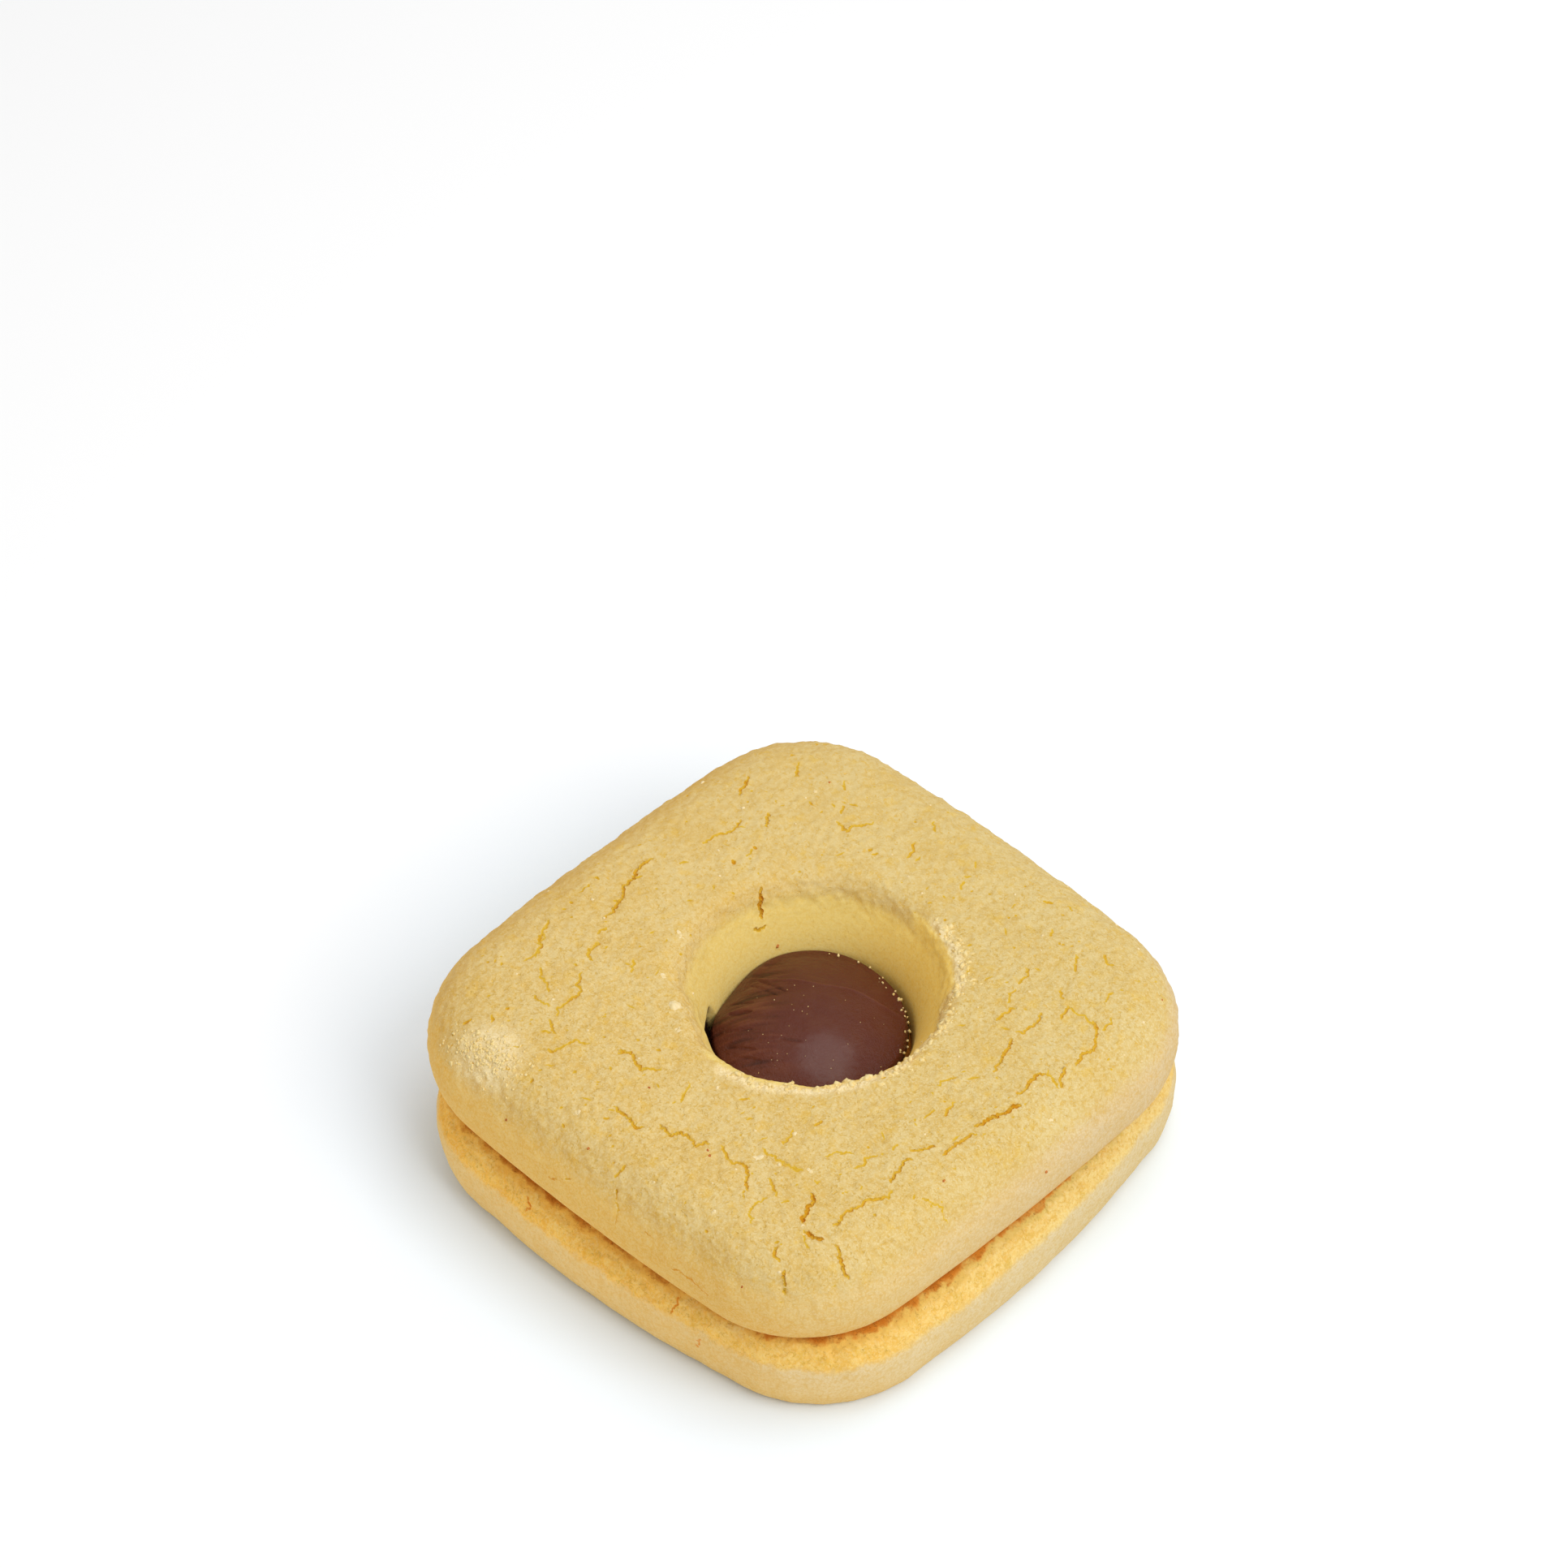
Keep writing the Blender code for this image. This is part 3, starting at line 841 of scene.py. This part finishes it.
# painted shade: the wall beside the gap is painted near black, where it lies in deep shade
def gapShadeBeside(places, look):
    _, distance, turn = roundWell(places)
    share = ease(turn, look["from"] - 3, look["from"] + 3) * (1 - ease(turn, look["to"] - 3, look["to"] + 3))
    share *= distance < 12.5
    return share * (1 - ease(places[:, 2] / mm, look["top"] - 0.4, look["top"] + 0.3))


# the far and left rim runs smoothly into the face
def softenRim(piece, look):
    places = points(piece)
    _, distance, turn = roundWell(places)
    off = abs(turn - look["turn"])
    share = np.exp(-(np.minimum(off, 360 - off) / look["spread"]) ** 4)
    share *= ease(distance, 8.8, 9.8) * (1 - ease(distance, 14.0, 16.0)) * ease(places[:, 2] / mm, 12.0, 13.5)
    group = piece.vertex_groups.new(name="softRim")
    for number in np.nonzero(share > 0.02)[0]:
        group.add([int(number)], float(share[number]), "REPLACE")
    smoothOut(piece, look["rounds"], "softRim")


# the broken rim has no sharp lip
def roundRidge(piece, ridgeTree, rounds):
    group = piece.vertex_groups.new(name="ridge")
    for vertex in piece.data.vertices:
        away = ridgeTree.find(vertex.co)[2] / mm
        if away < 1.6:
            group.add([vertex.index], 1 - away / 1.6, "REPLACE")
    smoothOut(piece, rounds, "ridge")


def buildTopBiscuit(look):
    piece = copyNode("topBiscuit")
    low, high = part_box("top_biscuit")
    modify(piece, "REMESH", mode="VOXEL", voxel_size=look["voxel"] * mm, use_smooth_shade=True)
    smoothOut(piece, look["smooth"])
    centres = faceCentres(piece)
    distance = fromWell(centres)
    under = (centres[:, 2] < 8.95 * mm) & (distance > 10.5 * mm) & (np.abs(centres[:, :2]).max(1) < 24 * mm)
    thinFaces(piece, under, look["keepUnder"])
    centres = faceCentres(piece)
    distance = fromWell(centres)
    fineFaces = (centres[:, 2] > look["faceLevel"] * mm) | ((distance < 12.5 * mm) & (centres[:, 2] > 10.5 * mm))
    subdivideFaces(piece, fineFaces)
    smoothOut(piece, 5)
    softenRim(piece, look["softRim"])
    pushWall(piece, look)
    surface = surfaceOf(piece)
    trail = followCracks(surface, topCracks)
    trail += scatterMarks(surface, markLook)
    tree = treeOf([place for place, _, _ in trail])
    ridgeTree = treeOf([place for picks in rimRidge.values() for place in followLine(surface, picks)])
    centres = faceCentres(piece)
    near = nearCracks(centres, tree, trail, look["crackReach"][0] * mm)
    near |= np.array([ridgeTree.find(centre)[2] < look["ridgeReach"] * mm for centre in centres])
    subdivideFaces(piece, near)
    subdivideFaces(piece, nearCracks(faceCentres(piece), tree, trail, look["crackReach"][1] * mm))
    roundRidge(piece, ridgeTree, look["ridgeRounds"])
    places = points(piece)
    nearest = [tree.find(place) for place in places]
    distance = fromWell(places)
    underside = ease(places[:, 2], 8.8 * mm, 9.6 * mm)
    face = ease(places[:, 2], 14.0 * mm, 17.0 * mm)
    well = (1 - ease(distance, 10.6 * mm, 12.2 * mm)) * (1 - ease(places[:, 2], 16.0 * mm, 17.6 * mm))
    shoulder = ease(places[:, 2], 10.5 * mm, 13.0 * mm) * (1 - ease(places[:, 2], 16.4 * mm, 17.4 * mm))
    shoulder = shoulder * (distance > 14 * mm)
    roughen(piece, look["lumps"], underside * (0.25 + 0.75 * face) * (1 - 0.5 * well))
    roughen(piece, look["edgeLumps"], shoulder)
    roughen(piece, look["grain"], underside * (0.15 + 0.85 * face) * (1 - 0.3 * well) * (1 - 0.4 * shadeOf(piece)))
    places = points(piece)
    ridgeFound = [ridgeTree.find(place) for place in places]
    fromRidge = np.array([found[2] for found in ridgeFound]) / mm
    ridgeReach = np.array([(found[0].xy - wellCentre).length for found in ridgeFound])
    ridge = 1 - ease(fromRidge, 0.1, look["ridgeReach"])
    distance = fromWell(places)
    within = ease(ridgeReach - distance, 0.0, 0.6 * mm) * (1 - ease(fromRidge, 2.0, 3.5))
    ridge *= 1 - within * 0.85
    roughen(piece, look["ridgeGrain"], ridge)
    cutCracks(piece, nearest, trail)
    places = points(piece)
    inwards = normals(piece) * look["inward"] * mm * underside[:, None]
    movePoints(piece, places - inwards)
    keepInBox(piece, low, high)
    places = points(piece)
    outside = 1 - ease(places[:, 2], 13.4 * mm, 17.3 * mm)
    paint(piece, "side", outside * (distance > 13 * mm))
    paint(piece, "wall", np.maximum(well * 1.1, within))
    paint(piece, "seam", (1 - ease(places[:, 2], 8.85 * mm, 9.25 * mm)) * (distance > 15 * mm))
    pale, _ = pinned(surface, *look["pale"])
    away = np.hypot(places[:, 0] - pale.x, places[:, 1] - pale.y) / mm
    dust = (1 - ease(away, *look["paleReach"])) * 0.75 * face + ridge * 0.9
    paint(piece, "dusty", dust)
    paint(piece, "gapShade", gapShadeBeside(places, look["gapShade"]))
    paint(piece, "shaded", shadeOf(piece))
    modify(piece, "DECIMATE", ratio=look["keep"])
    roundFaces(piece)
    return piece


topBiscuit = buildTopBiscuit(topLook)
tellTriangles(topBiscuit)


print("bottom biscuit")

bottomLook = {
    "voxel": 0.42,
    "smooth": 5,
    "lumps": [(5.0, 0.12, 11.0), (2.0, 0.10, 12.0)],
    "grain": [(0.8, 0.15, 13.0), (0.42, 0.1, 14.0)],
    "inward": 0.08,
    "lift": 0.24,
    "inner": 22.5,
    "keepInner": 0.04,
    "crackReach": 0.2,
    "sideFade": (5.2, 6.8),
    "seamRise": (7.35, 8.4),
}


def buildBottomBiscuit(look):
    piece = copyNode("bottomBiscuit")
    low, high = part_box("bottom_biscuit")
    modify(piece, "REMESH", mode="VOXEL", voxel_size=look["voxel"] * mm, use_smooth_shade=True)
    smoothOut(piece, look["smooth"])
    centres = faceCentres(piece)
    thinFaces(piece, np.abs(centres[:, :2]).max(1) < look["inner"] * mm, look["keepInner"])
    centres = faceCentres(piece)
    subdivideFaces(piece, (centres[:, 2] > 5.4 * mm) & (np.abs(centres[:, :2]).max(1) > look["inner"] * mm))
    smoothOut(piece, 2)
    surface = surfaceOf(piece)
    trail = followCracks(surface, baseCracks)
    tree = treeOf([place for place, _, _ in trail])
    subdivideFaces(piece, nearCracks(faceCentres(piece), tree, trail, look["crackReach"] * mm))
    places = points(piece)
    nearest = [tree.find(place) for place in places]
    foot = ease(places[:, 2], 0.05 * mm, 1.2 * mm)
    edge = ease(places[:, 2], 5.8 * mm, 7.6 * mm)
    roughen(piece, look["lumps"], foot)
    roughen(piece, look["grain"], foot * (0.12 + 0.88 * edge))
    cutCracks(piece, nearest, trail)
    places = points(piece)
    inwards = normals(piece) * look["inward"] * mm * foot[:, None]
    places = places - inwards
    reach = np.abs(places[:, :2]).max(1)
    places[:, 2] += look["lift"] * mm * (1 - ease(reach, 25 * mm, 27.2 * mm)) * ease(places[:, 2], 6.6 * mm, 8.0 * mm)
    movePoints(piece, places)
    keepInBox(piece, low, (high[0], high[1], 9.0 * mm))
    places = points(piece)
    height = places[:, 2] / mm + [waver(place, 1.6) * 0.35 + waver(place, 0.5) * 0.2 for place in places]
    paint(piece, "side", 1 - ease(height, *look["sideFade"]))
    paint(piece, "seam", ease(height, *look["seamRise"]))
    paint(piece, "shaded", shadeOf(piece))
    roundFaces(piece)
    return piece


bottomBiscuit = buildBottomBiscuit(bottomLook)
tellTriangles(bottomBiscuit)


print("cream")

creamShape = {
    "shift": (-0.46, -0.46),
    "radius": 9.0,
    "gapTurn": 235,  # degrees round the well, where the cream stands off the wall
    "gap": 0.25,
    "level": 11.8,
    "rise": 2.55,
    "lowTurn": 190,  # degrees round the well, where the cream lies lower
    "lowDrop": 1.0,
    "edgeDrop": 0.7,
    "foot": 8.72,
    "footRadius": 8.0,
    "foldStart": (935, 1205),
    "foldEnd": (1100, 1245),
}

# furrows drawn in the cream: photo pixels of both ends, then width and depth in millimetres
furrows = {
    "lens": ((899, 1250), (925, 1246), 0.26, 0.16),
    "sheenTop": ((962, 1280), (988, 1283), 0.14, 0.07),
    "high": ((934, 1208), (968, 1221), 0.13, 0.09),
    "highLow": ((926, 1215), (958, 1226), 0.12, 0.07),
    "middle": ((894, 1272), (926, 1268), 0.13, 0.07),
    "low": ((896, 1291), (930, 1293), 0.15, 0.08),
    "lowest": ((904, 1303), (936, 1306), 0.13, 0.07),
    "left": ((900, 1238), (928, 1235), 0.14, 0.07),
}


def buildCream(look):
    bpy.ops.object.select_all(action="DESELECT")
    bpy.ops.mesh.primitive_ico_sphere_add(subdivisions=7, radius=mm)
    piece = bpy.context.active_object
    piece.name = "cream"
    piece.data.name = "cream"
    bpy.ops.object.mode_set(mode="EDIT")
    bpy.ops.mesh.select_all(action="SELECT")
    bpy.ops.mesh.bisect(plane_co=(0, 0, 0), plane_no=(0, 0, 1), clear_inner=True)
    bpy.ops.object.mode_set(mode="OBJECT")
    places = points(piece) / mm
    share = np.degrees(np.arccos(np.clip(places[:, 2], 0, 1))) / 90
    turn = np.degrees(np.arctan2(places[:, 1], places[:, 0]))
    off = (turn - look["gapTurn"] + 180) % 360 - 180
    radius = look["radius"] - look["gap"] * np.exp(-(off / 36) ** 2)
    radius = radius + 0.07 * np.sin(np.radians(turn * 3 + 40)) + 0.04 * np.sin(np.radians(turn * 7))
    low = np.exp(-(((turn - look["lowTurn"] + 180) % 360 - 180) / 32) ** 2)
    radius = radius - low * 0.5
    height = look["level"] + look["rise"] * (1 - share ** 2) ** 0.9 - look["edgeDrop"] * ease(share, 0.955, 1.0) ** 2
    height = height - low * look["lowDrop"] * share ** 2
    across = np.cos(np.radians(turn)) * share * radius + wellCentre.x / mm + look["shift"][0]
    away = np.sin(np.radians(turn)) * share * radius + wellCentre.y / mm + look["shift"][1]
    movePoints(piece, np.column_stack([across, away, height]) * mm)
    bpy.ops.object.mode_set(mode="EDIT")
    bpy.ops.mesh.select_all(action="DESELECT")
    bpy.context.tool_settings.mesh_select_mode = (False, True, False)
    bpy.ops.mesh.select_non_manifold()
    drop = (look["foot"] - look["level"] + look["edgeDrop"]) * mm
    bpy.ops.mesh.extrude_edges_move(TRANSFORM_OT_translate={"value": (0, 0, drop)})
    share = look["footRadius"] / look["radius"]
    bpy.ops.transform.resize(value=(share, share, 1))
    bpy.ops.mesh.edge_face_add()
    bpy.ops.mesh.select_all(action="SELECT")
    bpy.ops.mesh.normals_make_consistent(inside=False)
    bpy.ops.object.mode_set(mode="OBJECT")

    surface = surfaceOf(piece)
    start, _ = pinned(surface, *look["foldStart"])
    end, _ = pinned(surface, *look["foldEnd"])
    places, faces = points(piece), normals(piece)
    local = (places[:, :2] - np.array([start.x, start.y])) / mm
    heading = np.array([end.x - start.x, end.y - start.y]) / mm
    length = np.hypot(*heading)
    heading /= length
    along = local @ heading
    beyond = local @ np.array([-heading[1], heading[0]])
    bend = 0.35 * np.sin(along * 0.5) + 0.12 * np.sin(along * 1.3)
    beyond = beyond + bend
    onTop = ease(places[:, 2], look["level"] * mm, (look["level"] + 0.5) * mm)
    reach = ease(along, -3.5, 0.5) * (1 - ease(along, length - 1.5, length + 1.5) * 0.6)
    step = -0.16 * ease(beyond, -0.05, 0.22) * reach
    ridge = 0.07 * np.exp(-((beyond + 0.08) / 0.12) ** 2) * reach
    flat = (places[:, :2] - np.array(wellCentre)) / mm
    across = (flat[:, 0] + flat[:, 1]) / math.sqrt(2)
    away = (flat[:, 1] - flat[:, 0]) / math.sqrt(2)
    sweep = away + 0.03 * (across + 6) ** 2
    fine = np.array([noise.noise(Vector((u / 3.2, v / 0.22, 0.3))) for u, v in zip(across, sweep)])
    broad = np.array([noise.noise(Vector((u / 3.5, v / 0.75, 7.1))) for u, v in zip(across, sweep)])
    soft = np.array([waver(place, 2.6) for place in places])
    drawn = (1 - ease(across, -4.5, -1.0)) * 0.9 + 0.1
    furrow = np.zeros(len(places))
    for first, second, width, depth in furrows.values():
        start, end = [np.array(pinned(surface, *pixel)[0].xy) / mm for pixel in (first, second)]
        run = end - start
        spots = places[:, :2] / mm - start
        share = np.clip(spots @ run / (run @ run), 0, 1)
        gap = np.linalg.norm(spots - share[:, None] * run, axis=1)
        furrow += depth * np.exp(-(gap / (width * (0.35 + np.sin(share * math.pi) * 0.65))) ** 2)
    push = step + ridge + drawn * (0.09 * broad + 0.02 * fine) + 0.08 * soft - furrow * 1.5
    places += faces * (push * onTop * mm)[:, None]
    movePoints(piece, places)
    # painted highlight along the fold's crest and painted shade in the furrows, over the drag streaks
    crestHighlight = 0.4 * np.exp(-((beyond + 0.08) / 0.1) ** 2) * reach
    paint(piece, "streak", 0.5 + drawn * (0.32 * fine + 0.6 * broad) - furrow * 3 + crestHighlight)
    roundFaces(piece)
    return piece, surfaceOf(piece)


cream, creamSurface = buildCream(creamShape)
tellTriangles(cream)


print("crumbs")


# one crumb is modelled and its copies are stamped into one mesh
def modelCrumb(seed, dents):
    bpy.ops.object.select_all(action="DESELECT")
    bpy.ops.mesh.primitive_ico_sphere_add(subdivisions=2, radius=0.5)
    crumb = bpy.context.active_object
    chance = random.Random(seed)
    shift = Vector([chance.uniform(0, 9) for axis in range(3)])
    modify(crumb, "DECIMATE", ratio=0.55)
    places = points(crumb)
    for number, place in enumerate(places):
        spot = Vector(place)
        bulge = 1 + dents * noise.noise(spot * 1.7 + shift) + dents * 0.5 * noise.noise(spot * 4 + shift)
        places[number] = place * bulge
    faces = [tuple(face.vertices) for face in crumb.data.polygons]
    bpy.data.objects.remove(crumb)
    return places, faces


def stampCrumbs(name, shapes, spots, seed, material):
    chance = random.Random(seed)
    vertices, faces, total = [], [], 0
    for place, size in spots:
        shape, shapeFaces = shapes[chance.randrange(len(shapes))]
        turn = Quaternion([chance.gauss(0, 1) for axis in range(4)]).normalized().to_matrix()
        stretch = np.array([chance.uniform(0.7, 1.3) for axis in range(3)])
        body = (shape * stretch * size * mm) @ np.array(turn) + np.array(place)
        body[:, 2] -= max(0, body[:, 2].max() - cadBox[1][2] + 0.01 * mm)
        vertices.append(body)
        faces += [tuple(index + total for index in face) for face in shapeFaces]
        total += len(body)
    mesh = bpy.data.meshes.new(name)
    mesh.from_pydata(np.vstack(vertices).tolist(), [], faces)
    mesh.update()
    piece = bpy.data.objects.new(name, mesh)
    bpy.context.scene.collection.objects.link(piece)
    piece.data.materials.append(material)
    roundFaces(piece)
    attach(piece, "root")
    return piece


crumbShapes = [modelCrumb(seed, 0.8) for seed in (3, 8, 21, 34, 55)]
grainShapes = [modelCrumb(seed, 0.25) for seed in (5, 13)]
topSkin = surfaceOf(topBiscuit)

topFinish = makeShortcrust("topShortcrust", topCrust)
baseFinish = makeShortcrust("baseShortcrust", baseCrust)
creamFinish = makeCream(creamLook, creamSurface)


def makeCrumbFinish(name, light, deep, size):
    material, shader, wire, place = startMaterial(name, {
        "Roughness": 0.9, "Specular IOR Level": 0.1,
    })
    colour = noiseIn(wire, place, size, 2).rise(0.4, 0.62).blend(light, deep)
    feed(wire, shader, "Base Color", colour)
    height = noiseIn(wire, place, 0.15, 2)
    relief = wire.add("ShaderNodeBump", {}, {"Height": height, "Strength": 0.4, "Distance": 0.00005})
    feed(wire, shader, "Normal", relief)
    return material


crumbFinish = makeCrumbFinish("paleCrumb", tint(232, 210, 152), tint(226, 196, 124), 0.35)
sugarFinish = makeCrumbFinish("sugarGrain", tint(232, 212, 166), tint(226, 202, 146), 0.4)

rimLook = {
    "seed": 4,
    "count": {"right": 230, "near": 70},
    "outward": {"right": 0.55, "near": 0.05},
    "spread": {"right": 0.45, "near": 0.22},
    "sizes": [0.25, 0.35, 0.45, 0.6, 0.8],
}
# broken tufts on the rim, in photo pixels
rimBumps = [(915, 1321), (924, 1329), (948, 1333), (971, 1336), (1030, 1334), (1049, 1327), (1062, 1324), (1104, 1311),
            (1113, 1292)]


# a crumb of that size, sunk into the surface by a share of it
def sunk(place, normal, size, share):
    return place - normal * size * share * mm, size


def rimSpots(look):
    chance = random.Random(look["seed"])
    spots = []
    for name in ("right", "near"):
        line = followLine(topSkin, rimRidge[name])
        spread = look["spread"][name]
        for number in range(look["count"][name]):
            base = line[chance.randrange(len(line))]
            out = (Vector(base[:2]) - wellCentre).normalized() * look["outward"][name] * mm
            across = base.x + out.x + chance.gauss(0, spread) * mm
            away = base.y + out.y + chance.gauss(0, spread) * mm
            place, normal = below(topSkin, Vector((across, away, 0.03)))
            if place is None or place.z < 14 * mm or normal.z < 0.75:
                continue
            size = chance.choice(look["sizes"]) * chance.uniform(0.8, 1.2)
            spots.append(sunk(place, normal, size, 0.36))
    for x, y in rimBumps:
        for number in range(6):
            place, normal = pinned(topSkin, x + chance.gauss(0, 4), y + 3 + chance.gauss(0, 2))
            if place is not None and place.z > 14 * mm:
                size = chance.uniform(0.25, 0.6)
                spots.append(sunk(place, normal, size, 0.15))
    return spots


# pale flakes on the face, in photo pixels, with their size in millimetres
flakes = {
    "leftHigh": (819, 1202, 0.75), "leftBig": (827, 1237, 1.25), "leftLow": (838, 1269, 0.8), "front": (711, 1371, 0.7),
    "leftTop": (838, 1153, 0.9), "cornerHigh": (979, 1397, 0.6), "corner": (933, 1426, 0.8),
    "cornerLow": (999, 1442, 0.6), "right": (1295, 1380, 0.5), "shoulder": (803, 1457, 0.55),
    "shoulderLow": (879, 1494, 0.5), "nearCrack": (989, 1509, 0.4),
}


def flakeSpots():
    chance = random.Random(17)
    spots = []
    for x, y, size in flakes.values():
        for number in range(6):
            spread = size * 2.2
            place, normal = pinned(topSkin, x + chance.gauss(0, spread), y + chance.gauss(0, spread * 0.75))
            grain = size * chance.uniform(0.7, 1.1)
            spots.append(sunk(place, normal, grain, 0.43))
    return spots


stampCrumbs("rimCrumbs", crumbShapes, rimSpots(rimLook), 11, crumbFinish)

paleLook = {"centre": (598, 1298), "count": 280, "seed": 9}


def paleSpots(look):
    chance = random.Random(look["seed"])
    spots = []
    for number in range(look["count"]):
        x = look["centre"][0] + chance.gauss(0, 23)
        y = look["centre"][1] + chance.gauss(0, 15) + (x - look["centre"][0]) * 0.25
        place, normal = pinned(topSkin, x, y)
        if place is None or place.z < 15 * mm:
            continue
        size = chance.uniform(0.18, 0.4)
        spots.append(sunk(place, normal, size, 0.22))
    return spots


stampCrumbs("paleGrains", crumbShapes, paleSpots(paleLook), 12, crumbFinish)


def sugarSpots():
    chance = random.Random(31)
    spots = []
    while len(spots) < 50:
        spot = Vector((chance.uniform(-26, 26), chance.uniform(-26, 26), 30)) * mm
        if (Vector(spot[:2]) - wellCentre).length < 10.5 * mm:
            continue
        place, normal = below(topSkin, spot)
        if place is None or place.z < 14.5 * mm:
            continue
        size = chance.uniform(0.2, 0.42)
        spots.append(sunk(place, normal, size, 0.2))
    return spots


stampCrumbs("sugarGrains", grainShapes, sugarSpots() + flakeSpots(), 13, sugarFinish)


# brown specks baked into the crust, in photo pixels, with their size in millimetres
specks = {
    "wall": (958, 1166, 0.42), "crackEnd": (872, 1417, 0.36), "crackLow": (874, 1424, 0.42),
    "rightSide": (1289, 1444, 0.34), "rightLow": (1163, 1455, 0.3),
    "nearSide": (914, 1586, 0.4), "right": (1432, 1232, 0.28), "front": (800, 1340, 0.26),
    "leftSide": (624, 1380, 0.28), "leftLow": (725, 1415, 0.3), "far": (1022, 964, 0.26),
}


def speckSpots():
    spots = []
    for x, y, size in specks.values():
        place, normal = pinned(topSkin, x, y)
        spots.append(sunk(place, normal, size, 0.25))
    return spots


speckFinish = makeCrumbFinish("brownSpeck", tint(196, 124, 62), tint(170, 96, 46), 0.3)
stampCrumbs("brownSpecks", grainShapes, speckSpots(), 15, speckFinish)


# crumbs that lie along the edge of the cream, in photo pixels
creamEdge = [(1016, 1171), (1034, 1174), (1058, 1184), (1073, 1191), (1086, 1206), (1092, 1211), (1101, 1224),
             (1107, 1234), (1112, 1245), (1115, 1252), (1118, 1264), (1119, 1273), (1117, 1286), (1111, 1296),
             (888, 1226), (905, 1213)]


def creamEdgeSpots():
    chance = random.Random(55)
    spots = []
    for x, y in creamEdge:
        for number in range(3 if x > 1080 else 2):
            down, normal = pinned(creamSurface, x + chance.gauss(1, 2.2), y + chance.gauss(0, 3.5))
            if down is None or down.z < 10.5 * mm:
                continue
            size = chance.uniform(0.12, 0.32)
            spots.append(sunk(down, normal, size, -0.2))
    return spots


# fine pale dust on the cream
def creamDustSpots():
    chance = random.Random(63)
    spots = []
    for number in range(34):
        down, normal = pinned(creamSurface, chance.uniform(920, 1090), chance.uniform(1205, 1325))
        if down is not None and down.z > 12 * mm:
            spots.append((down, chance.uniform(0.04, 0.09)))
    return spots


stampCrumbs("creamEdgeCrumbs", crumbShapes, creamEdgeSpots() + creamDustSpots(), 14, crumbFinish)

for piece, finish, slotName in (
        (topBiscuit, topFinish, "shortcrust_top"),
        (bottomBiscuit, baseFinish, "shortcrust_base"),
        (cream, creamFinish, "hazelnut_cream")):
    piece.data.materials.append(finish)
    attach(piece, "root")
    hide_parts(nodeOf[piece.name])


print("floor")

floorLook = {
    # near: a cooler, bluer floor close to the biscuit, painted to cancel the warm light that the biscuit bounces into
    # its shadow
    "near": (0.845, 0.92, 0.985, 1),
    "far": (0.95, 0.95, 0.95, 1),
    "reach": (30, 62),  # millimetres from the middle
}


def buildFloor(look):
    bpy.ops.object.select_all(action="DESELECT")
    bpy.ops.mesh.primitive_plane_add(size=6)
    floor = bpy.context.active_object
    floor.name = "paleFloor"
    material, shader, wire, place = startMaterial("paleFloor", {"Roughness": 0.9, "Specular IOR Level": 0.1})
    farOff = wire.add("ShaderNodeVectorMath", {"operation": "LENGTH"}, {0: place}, 1).rise(*look["reach"])
    # painted light: bluer near the biscuit to cancel its warm bounce light
    feed(wire, shader, "Base Color", farOff.blend(look["near"], look["far"]))
    floor.data.materials.append(material)
    return floor


floor = buildFloor(floorLook)

print("done")
